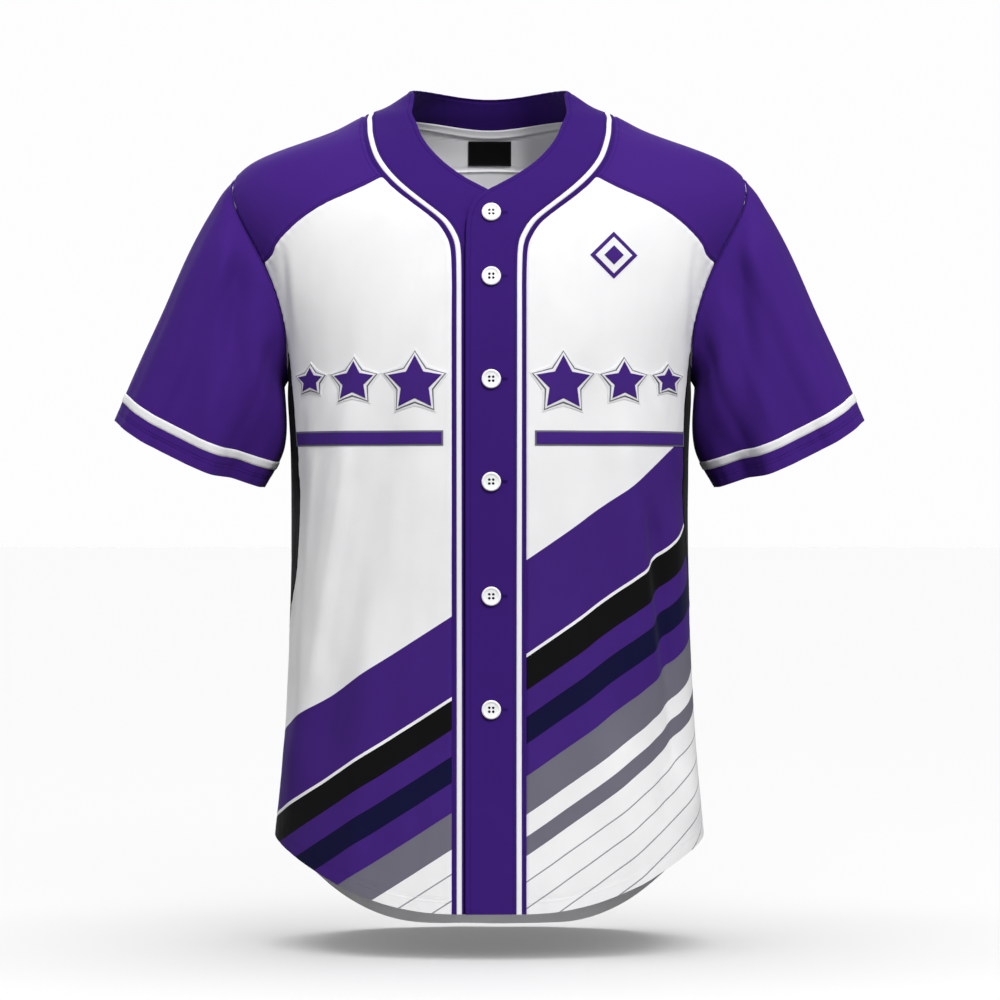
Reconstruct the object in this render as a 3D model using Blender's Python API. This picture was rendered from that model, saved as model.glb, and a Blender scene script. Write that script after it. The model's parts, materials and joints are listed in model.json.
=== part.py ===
"""Short-sleeved baseball jersey, buttoned and filled out as if worn, hollow inside.

Frame: +Z up, the front faces -Y and the wearer's left is +X. The origin is where the
wearer's shoulders carry the shirt: on the middle line, level with the neck seam.
Sizes are in millimetres and become metres when a mesh is made.

Every piece of cloth is a wall that follows one of two forms. The body form is a stack of
level sections, addressed by an angle round the body (0 in front, 90 at the wearer's left
side, 180 behind) and a height. The sleeve form is a row of rings, from the armhole to the
cuff, addressed by an angle round the arm (0 on top, 90 in front) and a share of the length.
"""

import math
from collections import namedtuple

import bpy
import numpy as np
from mathutils import Matrix, Vector

MM = 0.001

# Cloth and seams
CLOTH = 1.2
SEAM_GAP = 0.4
BRAID = 1.0
LAYER_GAP = 0.3

# Body form: level sections from the collar's top edge to below the tail
Section = namedtuple("Section", "height half_width front back squareness")
BODY_SECTIONS = [
    Section(40, 62, 20, 68, 2.0),
    Section(27, 73, 26, 78, 2.0),
    Section(17, 87, 33, 83, 2.0),
    Section(9, 100.5, 39, 87, 2.0),
    Section(2, 118, 45, 91, 2.02),
    Section(-11, 143.5, 55, 98, 2.05),
    Section(-26, 183.5, 66, 105, 2.08),
    Section(-40, 219, 75, 110, 2.1),
    Section(-55, 239, 84, 115, 2.13),
    Section(-75, 250, 95, 120, 2.16),
    Section(-100, 249, 105, 125, 2.2),
    Section(-130, 240, 113, 129, 2.24),
    Section(-165, 225, 120, 132, 2.28),
    Section(-200, 210, 125, 132, 2.32),
    Section(-240, 196, 128, 130, 2.35),
    Section(-290, 190, 130, 127, 2.36),
    Section(-370, 188, 130, 123, 2.36),
    Section(-460, 189, 128, 120, 2.36),
    Section(-515, 190.5, 128, 121, 2.35),
    Section(-572, 193.5, 128.5, 124, 2.34),
    Section(-629, 197.8, 130.5, 128, 2.33),
    Section(-675, 203, 133, 131, 2.3),
    Section(-730, 206, 136, 134, 2.3),
    Section(-800, 208, 138, 138, 2.3),
]

# Hem: a shirt tail that rises to the side seams and hangs lower behind
HEM_SIDE = -678
HEM_FRONT = -742
HEM_BACK = -781
HEM_FRONT_CURVE = 4.1
HEM_BACK_CURVE = 5.5

# Front band: neckband and placket in one strip on each side, from the hem to the centre
# back. Each row gives the neck or free edge and the sewn edge, seen from the front.
BandRow = namedtuple("BandRow", "free_x free_z sewn_x sewn_z")
PLACKET_FREE_X = -21.5
PLACKET_SEWN_X = 34.3
BAND_ROWS = [
    BandRow(-21.5, -142, 34.3, -165),
    BandRow(-21.2, -116, 35.4, -134),
    BandRow(-19.4, -99, 39.5, -119.5),
    BandRow(-12.8, -84.8, 46.5, -108.5),
    BandRow(1.5, -74.3, 58, -98),
    BandRow(22, -63, 72.5, -86.8),
    BandRow(41.5, -48.8, 86.5, -75.5),
    BandRow(55.5, -34, 99.8, -62),
    BandRow(64.8, -18.8, 110.5, -46.2),
    BandRow(70, -5.5, 116.6, -28.5),
    BandRow(72.6, 9, 118.8, -13),
    BandRow(71.6, 20, 118.9, -4.5),
]
YOKE_CORNER_ROW = 7
BAND_LIFT = 1.0

# The neckband goes on round the back: its top edge and its seam at angles round the body
NeckRow = namedtuple("NeckRow", "angle top seam")
NECK_ROWS = [
    NeckRow(90, 26.2, 2),
    NeckRow(120, 29.3, 1),
    NeckRow(150, 28.2, -4.5),
    NeckRow(180, 25.8, -10),
]

# Piping on the band, measured in from its sewn edge
PIPING_INSET = 4.7
PIPING_WIDTH = 4.9

# Yoke: one piece over both shoulders. Its front edge is seen from the front.
YOKE_FRONT_EDGE = [
    (124, -74.5),
    (148, -85),
    (165, -94.5),
    (179, -104.5),
    (191, -115.5),
    (200, -126),
    (207, -137),
]
YOKE_BACK_EDGE = [(150, -52), (75, -44), (0, -41)]
YOKE_ARM_FRONT = 84
YOKE_ARM_BACK = 322

# Armhole: an egg in side view, from the shoulder point to the underarm
ARM_TOP = -57
ARM_BOTTOM = -247
ARM_HALF_DEPTH_FRONT = 57
ARM_HALF_DEPTH_BACK = 60
ARM_EGG = 0.25

# Side panels: the angle round the body of their front and back edges
SidePanel = namedtuple("SidePanel", "height front_angle back_angle")
SIDE_PANEL = [
    SidePanel(-222, 75, 105),
    SidePanel(-260, 75.5, 108),
    SidePanel(-310, 76, 110),
    SidePanel(-390, 76.5, 112),
    SidePanel(-430, 80, 112.5),
    SidePanel(-470, 86.5, 113),
    SidePanel(-530, 92.5, 114),
    SidePanel(-700, 96, 116),
]
SIDE_ARM_FRONT = 139
SIDE_ARM_BACK = 218

# Sleeve form: rings after the armhole, each with its outer and inner ends in front view
SleeveRing = namedtuple("SleeveRing", "outer_x outer_z inner_x inner_z front back drop")
SLEEVE_RINGS = [
    SleeveRing(262.5, -87, 189, -262, 62, 63, 1),
    SleeveRing(288, -134, 187, -283, 66, 65, 3),
    SleeveRing(309, -182, 189, -304, 67, 65, 5),
    SleeveRing(330, -227.5, 199, -326, 64, 62, 7),
    SleeveRing(356, -287, 213.5, -351, 59, 59, 9),
]
SLEEVE_SQUARENESS = 2.05
SLEEVE_CLEARANCE = 3.5
SLEEVE_SOFTNESS = 3.0
STRIPE_FROM_CUFF = 19.3
STRIPE_WIDTH = 8.6

# Folds: a soft ridge (height above 0) or trough along a line on a form
BodyFold = namedtuple("BodyFold", "x0 z0 x1 z1 width height")
BODY_FOLDS = [
    BodyFold(-132, -300, -178, -590, 15, 5.5),
    BodyFold(-100, -330, -150, -560, 17, -4.5),
    BodyFold(-183, -330, -187, -560, 10, -2.5),
    BodyFold(-112, -520, -128, -700, 16, 3.5),
    BodyFold(150, -400, 174, -590, 9, -5.5),
    BodyFold(172, -400, 188, -640, 11, 4.5),
    BodyFold(128, -330, 150, -520, 15, 4.5),
    BodyFold(92, -300, 112, -560, 18, -4.0),
    BodyFold(110, -600, 140, -720, 16, 3.5),
    BodyFold(60, -560, 74, -720, 15, -1.5),
    BodyFold(-60, -600, -66, -720, 15, -1.5),
]
BACK_FOLDS = [
    BodyFold(150, -250, 128, -560, 18, 4.0),
    BodyFold(-148, -240, -134, -540, 18, 4.0),
    BodyFold(100, -300, 84, -700, 20, -4.0),
    BodyFold(-104, -310, -80, -690, 20, -4.0),
    BodyFold(40, -420, 52, -740, 18, 3.0),
    BodyFold(-36, -380, -28, -740, 18, 3.0),
    BodyFold(8, -330, 6, -740, 16, -2.5),
    BodyFold(170, -420, 160, -700, 14, -3.0),
    BodyFold(-168, -400, -164, -690, 14, -3.0),
]
FOLD_FADE = 35
ARMHOLE_TUCK = 4.0
ARMHOLE_TUCK_WIDTH = 17
SleeveFold = namedtuple("SleeveFold", "angle0 share0 angle1 share1 width height")
SLEEVE_FOLDS = [
    SleeveFold(52, 0.25, 50, 1.05, 15, 2.5),
    SleeveFold(84, 0.12, 82, 1.0, 13, -3.0),
    SleeveFold(112, 0.15, 108, 1.05, 12, 3.0),
    SleeveFold(140, 0.25, 132, 1.0, 11, -3.0),
    SleeveFold(300, 0.2, 304, 1.05, 15, 3.0),
    SleeveFold(270, 0.15, 272, 1.0, 14, -3.5),
    SleeveFold(240, 0.2, 244, 1.0, 13, 3.0),
]

# Buttons, seen from the front
BUTTON_X = 2.0
BUTTON_HEIGHTS = [-98, -157.5, -252, -346, -451, -555]
BUTTON_RADIUS = 8.9
BUTTON_THICKNESS = 2.8
BUTTON_HOLE_RADIUS = 0.9
BUTTON_HOLE_SPACING = 3.6

# Inside the back of the neck
TAPE_WIDTH = 8.5
TAPE_STEPS_PAST_SHOULDER = 3
LABEL_HALF_WIDTH = 21
LABEL_TOP = -12.5
LABEL_BOTTOM = -35.5

# Mesh steps. Pieces that meet share these, so that their edges run point for point.
ROWS_BELOW_ARM = 15
ROWS_AT_ARM_FRONT = 6
ROWS_AT_ARM_BACK = 8
ROWS_ON_V = 7
STEPS_NECK_FRONT = 8
STEPS_NECK_SIDE = 7
STEPS_NECK_BACK = 9
FRONT_COLUMNS = 11
SIDE_COLUMNS = 5
SLEEVE_ROWS = 9

Material = namedtuple("Material", "colour roughness")
PURPLE = Material((0.055, 0.018, 0.19, 1), 0.75)
WHITE = Material((0.86, 0.86, 0.86, 1), 0.8)
BLACK = Material((0.008, 0.008, 0.008, 1), 0.8)
BUTTON_WHITE = Material((0.88, 0.88, 0.87, 1), 0.3)


def smooth(value, start, end):
    """0 before start, 1 after end, and an even S between them."""
    t = np.clip((np.asarray(value, float) - start) / (end - start), 0, 1)
    return t * t * (3 - 2 * t)


def spline(knots, values):
    """A cubic curve through values at rising knots, with no bend at its two ends."""
    k = np.asarray(knots, float)
    v = np.asarray(values, float).reshape(len(k), -1)
    h = np.diff(k)
    slope = np.diff(v, axis=0) / h[:, None]
    matrix = np.eye(len(k))
    right = np.zeros_like(v)
    for i in range(1, len(k) - 1):
        matrix[i, i - 1 : i + 2] = h[i - 1], 2 * (h[i - 1] + h[i]), h[i]
        right[i] = 6 * (slope[i] - slope[i - 1])
    bend = np.linalg.solve(matrix, right)

    def at(where):
        t = np.atleast_1d(np.asarray(where, float))
        i = np.clip(np.searchsorted(k, t) - 1, 0, len(h) - 1)
        a = (k[i + 1] - t)[:, None]
        b = (t - k[i])[:, None]
        g = h[i][:, None]
        return (
            (bend[i] * a**3 + bend[i + 1] * b**3) / (6 * g)
            + (v[i] / g - bend[i] * g / 6) * a
            + (v[i + 1] / g - bend[i + 1] * g / 6) * b
        )

    return at


def curve_through(points):
    """A cubic curve through points, as a function of the share of its length, 0 to 1."""
    p = np.asarray(points, float)
    steps = np.linalg.norm(np.diff(p, axis=0), axis=1)
    knots = np.concatenate([[0], np.cumsum(steps)])
    at = spline(knots / knots[-1], p)
    dense = at(np.linspace(0, 1, 400))
    run = np.concatenate([[0], np.cumsum(np.linalg.norm(np.diff(dense, axis=0), axis=1))])

    def even(share):
        return at(np.interp(np.atleast_1d(share), run / run[-1], np.linspace(0, 1, 400)))

    return even


section_at = spline(
    [s.height for s in reversed(BODY_SECTIONS)],
    [s[1:] for s in reversed(BODY_SECTIONS)],
)
side_panel_at = spline(
    [-s.height for s in SIDE_PANEL],
    [(s.front_angle, s.back_angle) for s in SIDE_PANEL],
)


def ridge_lines(x, z, folds):
    """The sum of the folds at points given in front view."""
    total = np.zeros_like(x)
    for f in folds:
        along = np.array([f.x1 - f.x0, f.z1 - f.z0], float)
        length = np.linalg.norm(along)
        along /= length
        run = (x - f.x0) * along[0] + (z - f.z0) * along[1]
        across = (x - f.x0) * along[1] - (z - f.z0) * along[0]
        past = np.maximum(0, np.maximum(-run, run - length)) / (3 * f.width)
        total += f.height * np.exp(-((across / f.width) ** 2) - past**2)
    return total


def plain_body(angle, height):
    """Points of the body form before folds. Angles are in degrees, below 0 on the right."""
    turn = np.radians(np.asarray(angle, float))
    width, front, back, power = section_at(height).T
    depth = np.where(np.cos(turn) > 0, front, back)
    reach = (
        np.abs(np.sin(turn) / width) ** power + np.abs(np.cos(turn) / depth) ** power
    ) ** (-1 / power)
    return np.stack([reach * np.sin(turn), -reach * np.cos(turn), height], axis=1)


def normals_of(form, a, b, step_a, step_b):
    """Outward unit normals of a form, from its slopes at parameters a and b."""
    along_a = form(a + step_a, b) - form(a - step_a, b)
    along_b = form(a, b + step_b) - form(a, b - step_b)
    n = np.cross(along_a, along_b)
    return n / np.linalg.norm(n, axis=1)[:, None]


def plain_normals(angle, height):
    return normals_of(plain_body, angle, height, 0.3, 0.5)


def armhole_depth(turn):
    """Depth of the armhole's edge in side view, at angles round the arm in radians."""
    half = np.where(np.sin(turn) > 0, ARM_HALF_DEPTH_FRONT, ARM_HALF_DEPTH_BACK)
    return -half * np.sin(turn) * (1 - ARM_EGG * np.cos(turn))


def armhole_tuck(points):
    """How far the cloth turns in towards the armhole seam, and how far off the seam is."""
    turn = np.radians(np.linspace(0, 360, 73))
    edge_y = armhole_depth(turn)
    edge_z = (ARM_TOP + ARM_BOTTOM) / 2 + (ARM_TOP - ARM_BOTTOM) / 2 * np.cos(turn)
    away = np.hypot(
        points[:, 1, None] - edge_y[None, :], points[:, 2, None] - edge_z[None, :]
    ).min(axis=1)
    near_side = smooth(np.abs(points[:, 0]), 140, 180)
    lower = smooth(points[:, 2], -85, -150) * smooth(points[:, 2], -300, -235)
    tuck = ARMHOLE_TUCK * np.exp(-((away / ARMHOLE_TUCK_WIDTH) ** 2))
    return tuck * near_side * lower, away


def body(angle, height):
    """Points on the outside of the body form, folds and all."""
    angle = np.atleast_1d(np.asarray(angle, float))
    height = np.broadcast_to(np.asarray(height, float), angle.shape)
    points = plain_body(angle, height)
    in_front = np.cos(np.radians(angle)) > 0
    x = points[:, 0]
    round_side = smooth(np.abs(np.cos(np.radians(angle))), 0, 0.2)
    push = ridge_lines(x, height, BODY_FOLDS) * in_front
    push += ridge_lines(x, height, BACK_FOLDS) * ~in_front
    tuck, away = armhole_tuck(points)
    push = push * round_side * smooth(away, 2, FOLD_FADE) - tuck
    return points + plain_normals(angle, height) * push[:, None]


def body_normals(angle, height):
    return normals_of(body, angle, height, 0.3, 0.5)


def front_angle(x, z):
    """The angle round the body of front points given by x and height."""
    x, z = np.broadcast_arrays(np.asarray(x, float), np.asarray(z, float))
    width, front, _, power = section_at(z).T
    y = front * (1 - np.minimum(1, np.abs(x) / width) ** power) ** (1 / power)
    return np.degrees(np.arctan2(x, y))


def back_angle(x, z):
    """The angle round the body of back points given by x and height."""
    x, z = np.broadcast_arrays(np.asarray(x, float), np.asarray(z, float))
    width, _, back, power = section_at(z).T
    y = back * (1 - np.minimum(1, np.abs(x) / width) ** power) ** (1 / power)
    return 180 - np.degrees(np.arctan2(x, y))


def hem_height(angle):
    turn = np.radians(angle)
    in_front = np.cos(turn) > 0
    low = np.where(in_front, HEM_FRONT, HEM_BACK)
    curve = np.where(in_front, HEM_FRONT_CURVE, HEM_BACK_CURVE)
    return low + (HEM_SIDE - low) * np.abs(np.sin(turn)) ** curve


def armhole(angle):
    """The armhole's edge as places on the body form, for angles round the arm."""
    turn = np.radians(np.asarray(angle, float))
    y = armhole_depth(turn)
    z = (ARM_TOP + ARM_BOTTOM) / 2 + (ARM_TOP - ARM_BOTTOM) / 2 * np.cos(turn)
    width, front, back, power = section_at(z).T
    depth = np.where(y < 0, front, back)
    x = width * (1 - (np.abs(y) / depth) ** power) ** (1 / power)
    return np.stack([np.degrees(np.arctan2(x, -y)), z], axis=1)


def armhole_points(angle):
    place = armhole(angle)
    return body(place[:, 0], place[:, 1])


def sleeve_ring(ring, angle):
    turn = np.radians(angle)
    outer = np.array([ring.outer_x, 0, ring.outer_z], float)
    inner = np.array([ring.inner_x, 0, ring.inner_z], float)
    middle = (outer + inner) / 2
    across = (outer - inner) / 2
    down = np.array([-across[2], 0, across[0]]) * -1
    down /= np.linalg.norm(down)
    e = 2 / SLEEVE_SQUARENESS
    c = np.sign(np.cos(turn)) * np.abs(np.cos(turn)) ** e
    s = np.sign(np.sin(turn)) * np.abs(np.sin(turn)) ** e
    depth = np.where(s > 0, ring.front, ring.back)
    points = middle + c[:, None] * across - (s * depth)[:, None] * np.array([0, 1, 0])
    return points + (s * np.abs(s) * ring.drop)[:, None] * down


def clear_of_body(points):
    """Moves sleeve points that would lie against the body outwards, softly."""
    width, front, back, power = section_at(points[:, 2]).T
    depth = np.where(points[:, 1] < 0, front, back)
    inside = np.clip(1 - np.minimum(1, np.abs(points[:, 1]) / depth) ** power, 0, 1)
    least = width * inside ** (1 / power) + SLEEVE_CLEARANCE
    over = (points[:, 0] - least) / SLEEVE_SOFTNESS
    soft = np.where(over > 6, over, np.log1p(np.exp(np.minimum(over, 6))))
    moved = points.copy()
    moved[:, 0] = least + SLEEVE_SOFTNESS * soft
    return moved


SLEEVE_KNOTS = np.array([0, 0.17, 0.38, 0.58, 0.77, 1.0])


def plain_sleeve(angle, share):
    """Points of the left sleeve's form before folds."""
    angle = np.atleast_1d(np.asarray(angle, float))
    share = np.broadcast_to(np.asarray(share, float), angle.shape)
    rings = [armhole_points(angle)] + [sleeve_ring(r, angle) for r in SLEEVE_RINGS]
    stack = np.stack([np.asarray(r) for r in rings])
    flat = spline(SLEEVE_KNOTS, stack.reshape(len(SLEEVE_KNOTS), -1))
    out = np.empty((len(angle), 3))
    for value in np.unique(share):
        pick = share == value
        out[pick] = flat(value).reshape(-1, 3)[pick]
    blend = smooth(share, 0, 0.16)[:, None]
    return out * (1 - blend) + clear_of_body(out) * blend


def sleeve(angle, share):
    """Points on the outside of the left sleeve, folds and all."""
    angle = np.atleast_1d(np.asarray(angle, float))
    share = np.broadcast_to(np.asarray(share, float), angle.shape)
    points = plain_sleeve(angle, share)
    push = np.zeros(len(angle))
    for f in SLEEVE_FOLDS:
        t = np.clip((share - f.share0) / (f.share1 - f.share0), 0, 1)
        line = f.angle0 + (f.angle1 - f.angle0) * t
        off = ((angle - line + 180) % 360 - 180) / f.width
        past = np.maximum(0, f.share0 - share) / 0.12
        push += f.height * np.exp(-(off**2) - past**2)
    push *= smooth(share, 0.02, 0.2)
    normal = normals_of(plain_sleeve, angle, share, 0.5, 0.004)
    return points + normal * push[:, None]


def sleeve_normals(angle, share):
    return normals_of(sleeve, angle, share, 0.5, 0.004)


def seam_normals(angle):
    """Direction that both walls share at the armhole: out from the arm, in side view."""
    turn = np.radians(np.asarray(angle, float))
    return np.stack([np.zeros_like(turn), -np.sin(turn), np.cos(turn)], axis=1)


def edge_normals(angle, own):
    """Wall direction at the armhole: shared over the shoulder, its own below."""
    turn = np.abs((np.asarray(angle, float) + 180) % 360 - 180)
    k = smooth(turn, 60, 100)[:, None]
    n = seam_normals(angle) * (1 - k) + own * k
    return n / np.linalg.norm(n, axis=1)[:, None]


def sided(places, side):
    """Places on the body form moved to the wearer's left (1) or right (-1) side."""
    return places * np.array([side, 1])


def coons(bottom, top, left, right):
    """A grid of places between four edges. Rows run from bottom to top."""
    bottom, top, left, right = (np.asarray(e, float) for e in (bottom, top, left, right))
    u = np.linspace(0, 1, len(bottom))[None, :, None]
    v = np.linspace(0, 1, len(left))[:, None, None]
    ruled = (1 - v) * bottom[None] + v * top[None]
    ruled = ruled + (1 - u) * left[:, None] + u * right[:, None]
    corners = (1 - u) * (1 - v) * bottom[0] + u * (1 - v) * bottom[-1]
    corners = corners + (1 - u) * v * top[0] + u * v * top[-1]
    return ruled - corners


def on_body(grid):
    """Outside points and normals of a grid of places on the body form."""
    rows, columns, _ = grid.shape
    angle, height = grid.reshape(-1, 2).T
    points = body(angle, height).reshape(rows, columns, 3)
    return points, body_normals(angle, height).reshape(rows, columns, 3)


def seam_step(edge, inner):
    """Half a seam gap, square to an edge and towards the points next to it."""
    run = np.gradient(edge, axis=0)
    run /= np.linalg.norm(run, axis=1, keepdims=True)
    away = inner - edge
    away = away - (away * run).sum(axis=1, keepdims=True) * run
    return away * (SEAM_GAP / 2) / np.linalg.norm(away, axis=1, keepdims=True)


def drawn_in(points, edges):
    """Moves edges of a grid in by half a seam gap: bottom, top, left or right by letter."""
    moves = np.zeros_like(points)
    if "b" in edges:
        moves[0] += seam_step(points[0], points[1])
    if "t" in edges:
        moves[-1] += seam_step(points[-1], points[-2])
    if "l" in edges:
        moves[:, 0] += seam_step(points[:, 0], points[:, 1])
    if "r" in edges:
        moves[:, -1] += seam_step(points[:, -1], points[:, -2])
    return points + moves


def wall_faces(rows, columns, closed):
    """Faces of a wall: its outside, its inside and the rim between them."""
    count = rows * columns
    steps = columns if closed else columns - 1
    faces = []
    for r in range(rows - 1):
        for c in range(steps):
            d = (c + 1) % columns
            a, b = r * columns + c, r * columns + d
            e, f = (r + 1) * columns + d, (r + 1) * columns + c
            faces.append((a, b, e, f))
            faces.append((count + f, count + e, count + b, count + a))
    for c in range(steps):
        d = (c + 1) % columns
        last = (rows - 1) * columns
        faces.append((c, count + c, count + d, d))
        faces.append((last + d, count + last + d, count + last + c, last + c))
    if not closed:
        for r in range(rows - 1):
            a, b = r * columns, (r + 1) * columns
            e, f = a + columns - 1, b + columns - 1
            faces.append((b, count + b, count + a, a))
            faces.append((e, count + e, count + f, f))
    return faces


def mesh_object(name, vertices, faces, material):
    mesh = bpy.data.meshes.new(name)
    mesh.from_pydata([tuple(v) for v in np.asarray(vertices) * MM], [], faces)
    mesh.validate()
    mesh.shade_smooth()
    mesh.set_sharp_from_angle(angle=math.radians(40))
    mesh.materials.append(material)
    obj = bpy.data.objects.new(name, mesh)
    bpy.context.scene.collection.objects.link(obj)
    return obj


def facing_out(vertices, faces):
    """The faces, turned round if they enclose a negative volume."""
    v = np.asarray(vertices, float)
    volume = 0.0
    for f in faces:
        for i in range(1, len(f) - 1):
            volume += np.dot(v[f[0]], np.cross(v[f[i]], v[f[i + 1]]))
    return faces if volume > 0 else [tuple(reversed(f)) for f in faces]


def wall(name, points, normals, material, thickness=CLOTH, closed=False):
    """A closed wall that lies inwards from a grid of outside points."""
    rows, columns, _ = points.shape
    outer = points.reshape(-1, 3)
    inner = outer - normals.reshape(-1, 3) * thickness
    vertices = np.concatenate([outer, inner])
    faces = facing_out(vertices, wall_faces(rows, columns, closed))
    return mesh_object(name, vertices, faces, material)


def material_named(name, look):
    material = bpy.data.materials.new(name)
    material.use_nodes = True
    shader = material.node_tree.nodes["Principled BSDF"]
    shader.inputs["Base Color"].default_value = look.colour
    shader.inputs["Roughness"].default_value = look.roughness
    shader.inputs["Metallic"].default_value = 0
    material.diffuse_color = look.colour
    return material


def band_edges():
    """The band's free and sewn edges as places, from above the placket to past the centre back."""
    free = [(float(front_angle(r.free_x, r.free_z)[0]), r.free_z) for r in BAND_ROWS]
    sewn = [(float(front_angle(r.sewn_x, r.sewn_z)[0]), r.sewn_z) for r in BAND_ROWS]
    free += [(r.angle, r.top) for r in NECK_ROWS]
    sewn += [(r.angle, r.seam) for r in NECK_ROWS]
    for edge in (free, sewn):
        edge += [(360 - angle, height) for angle, height in edge[-2:-4:-1]]
    return free, sewn


FREE_PLACES, SEWN_PLACES = band_edges()
BAND_KNOTS = np.arange(len(FREE_PLACES), dtype=float)
free_edge_at = spline(BAND_KNOTS, FREE_PLACES)
sewn_edge_at = spline(BAND_KNOTS, SEWN_PLACES)
NECK_SIDE_KNOT = float(len(BAND_ROWS))
NECK_BACK_KNOT = NECK_SIDE_KNOT + len(NECK_ROWS) - 1
YOKE_KNOT = float(YOKE_CORNER_ROW)
YOKE_ARM_KNOT = NECK_SIDE_KNOT + 1.0
DEGREES_TO_MM = np.array([1.9, 1.0])


def band_knots():
    """Where the band's rows lie: -1 at the hem, 0 on top of the placket, then the neck."""
    rows = ROWS_BELOW_ARM + ROWS_AT_ARM_FRONT - ROWS_ON_V
    dense = np.linspace(0, YOKE_KNOT, 401)
    steps = np.linalg.norm(np.diff(sewn_edge_at(dense) * DEGREES_TO_MM, axis=0), axis=1)
    run = np.concatenate([[0], np.cumsum(steps)])
    on_v = np.interp(np.linspace(0, run[-1], ROWS_ON_V + 1), run, dense)
    return np.concatenate(
        [
            np.linspace(-1, 0, rows + 1),
            on_v[1:],
            np.linspace(YOKE_KNOT, NECK_SIDE_KNOT, STEPS_NECK_FRONT + 1)[1:],
            np.linspace(NECK_SIDE_KNOT, YOKE_ARM_KNOT, STEPS_NECK_SIDE + 1)[1:],
            np.linspace(YOKE_ARM_KNOT, NECK_BACK_KNOT, STEPS_NECK_BACK + 1)[1:],
        ]
    )


def band_edge_places(knots, edge_at, x):
    """Places along one edge of the band, from the hem up at a fixed x, then the curve."""
    places = []
    for knot in knots:
        if knot < 0:
            bottom = float(hem_height(front_angle(x, HEM_FRONT))[0])
            z = bottom + (edge_at(0.0)[0][1] - bottom) * (knot + 1)
            places.append((float(front_angle(x, z)[0]), z))
        else:
            places.append(tuple(edge_at(knot)[0]))
    return np.array(places)


def band_grid(side):
    """Outside points and normals of the band before it is lifted. Its columns are the
    free edge, the other side's free edge, the piping's two edges and the sewn edge."""
    knots = band_knots()
    free = band_edge_places(knots, free_edge_at, PLACKET_FREE_X)
    sewn = band_edge_places(knots, sewn_edge_at, PLACKET_SEWN_X)
    ends = on_body(np.stack([free, sewn], axis=1))[0]
    width = np.linalg.norm(ends[:, 1] - ends[:, 0], axis=1)
    outer = 1 - PIPING_INSET / width
    shares = [np.zeros_like(width), outer * 0.42, outer - PIPING_WIDTH / width, outer]
    shares = np.stack([*shares, np.ones_like(width)], axis=1)[..., None]
    return on_body(sided(free[:, None] * (1 - shares) + sewn[:, None] * shares, side))


def lifted_band(side):
    """The band's points: the left lies on top and the right below where they overlap."""
    points, normals = band_grid(side)
    full = np.array([1, 1, 1, 0.55, 0])[None, :]
    below = 1 - smooth(points[..., 2], -66, -45)
    return points + normals * (side * BAND_LIFT * full * below)[..., None], normals


def round_the_neck(pick):
    """Joins a strip picked from the left of the band, over the back, to the right's."""
    (left, left_way), (right, right_way) = (pick(*lifted_band(side)) for side in (1, -1))
    points = np.concatenate([left, right[-2::-1]])
    return points, np.concatenate([left_way, right_way[-2::-1]])


def make_band(name, material):
    points, normals = round_the_neck(lambda points, normals: (points, normals))
    return wall(name, drawn_in(points, "r"), normals, material)


def make_piping(name, material):
    def piping(points, normals):
        return points[:, 2:4] + normals[:, 2:4] * (LAYER_GAP + BRAID), normals[:, 2:4]

    return wall(name, *round_the_neck(piping), material, BRAID)


def along(curve, steps):
    return curve(np.linspace(0, 1, steps + 1))


def side_edge(which):
    """A side panel's front (0) or back (1) edge, from the hem up to the armhole."""
    arm = armhole([SIDE_ARM_FRONT if which == 0 else SIDE_ARM_BACK])[0]
    low = float(side_panel_at(-HEM_SIDE)[0][which])
    bottom = float(hem_height(low))
    heights = np.linspace(bottom, arm[1], ROWS_BELOW_ARM + 1)
    angles = side_panel_at(-heights)[:, which]
    ease = smooth(heights, arm[1] - 60, arm[1])
    angles = angles + (arm[0] - angles[-1]) * ease
    return np.stack([angles, heights], axis=1)


def arm_angles_front():
    return np.linspace(SIDE_ARM_FRONT, YOKE_ARM_FRONT, ROWS_AT_ARM_FRONT + 1)


def arm_angles_back():
    return np.linspace(SIDE_ARM_BACK, YOKE_ARM_BACK, ROWS_AT_ARM_BACK + 1)


def hem_places(start, end, steps):
    angles = np.linspace(start, end, steps + 1)
    return np.stack([angles, hem_height(angles)], axis=1)


def armhole_edge(points, normals, select, angles, side):
    """Puts a panel's edge on the armhole, half a gap in, with the shared wall direction."""
    mirror = np.array([side, 1, 1])
    inward = np.array([-1, 0, 0.3]) * SEAM_GAP / 2
    points[select] = (armhole_points(angles) + inward) * mirror
    normals[select] = edge_normals(angles, normals[select] * mirror) * mirror


def yoke_front_places():
    corner = tuple(sewn_edge_at(YOKE_KNOT)[0])
    end = tuple(armhole([YOKE_ARM_FRONT])[0])
    middle = [(float(front_angle(x, z)[0]), z) for x, z in YOKE_FRONT_EDGE]
    return along(curve_through([corner, *middle, end]), FRONT_COLUMNS)


def yoke_back_places():
    start = tuple(armhole([YOKE_ARM_BACK])[0])
    middle = [(float(back_angle(x, z)[0]), z) for x, z in YOKE_BACK_EDGE]
    return along(curve_through([start, *middle]), STEPS_NECK_BACK)


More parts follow.
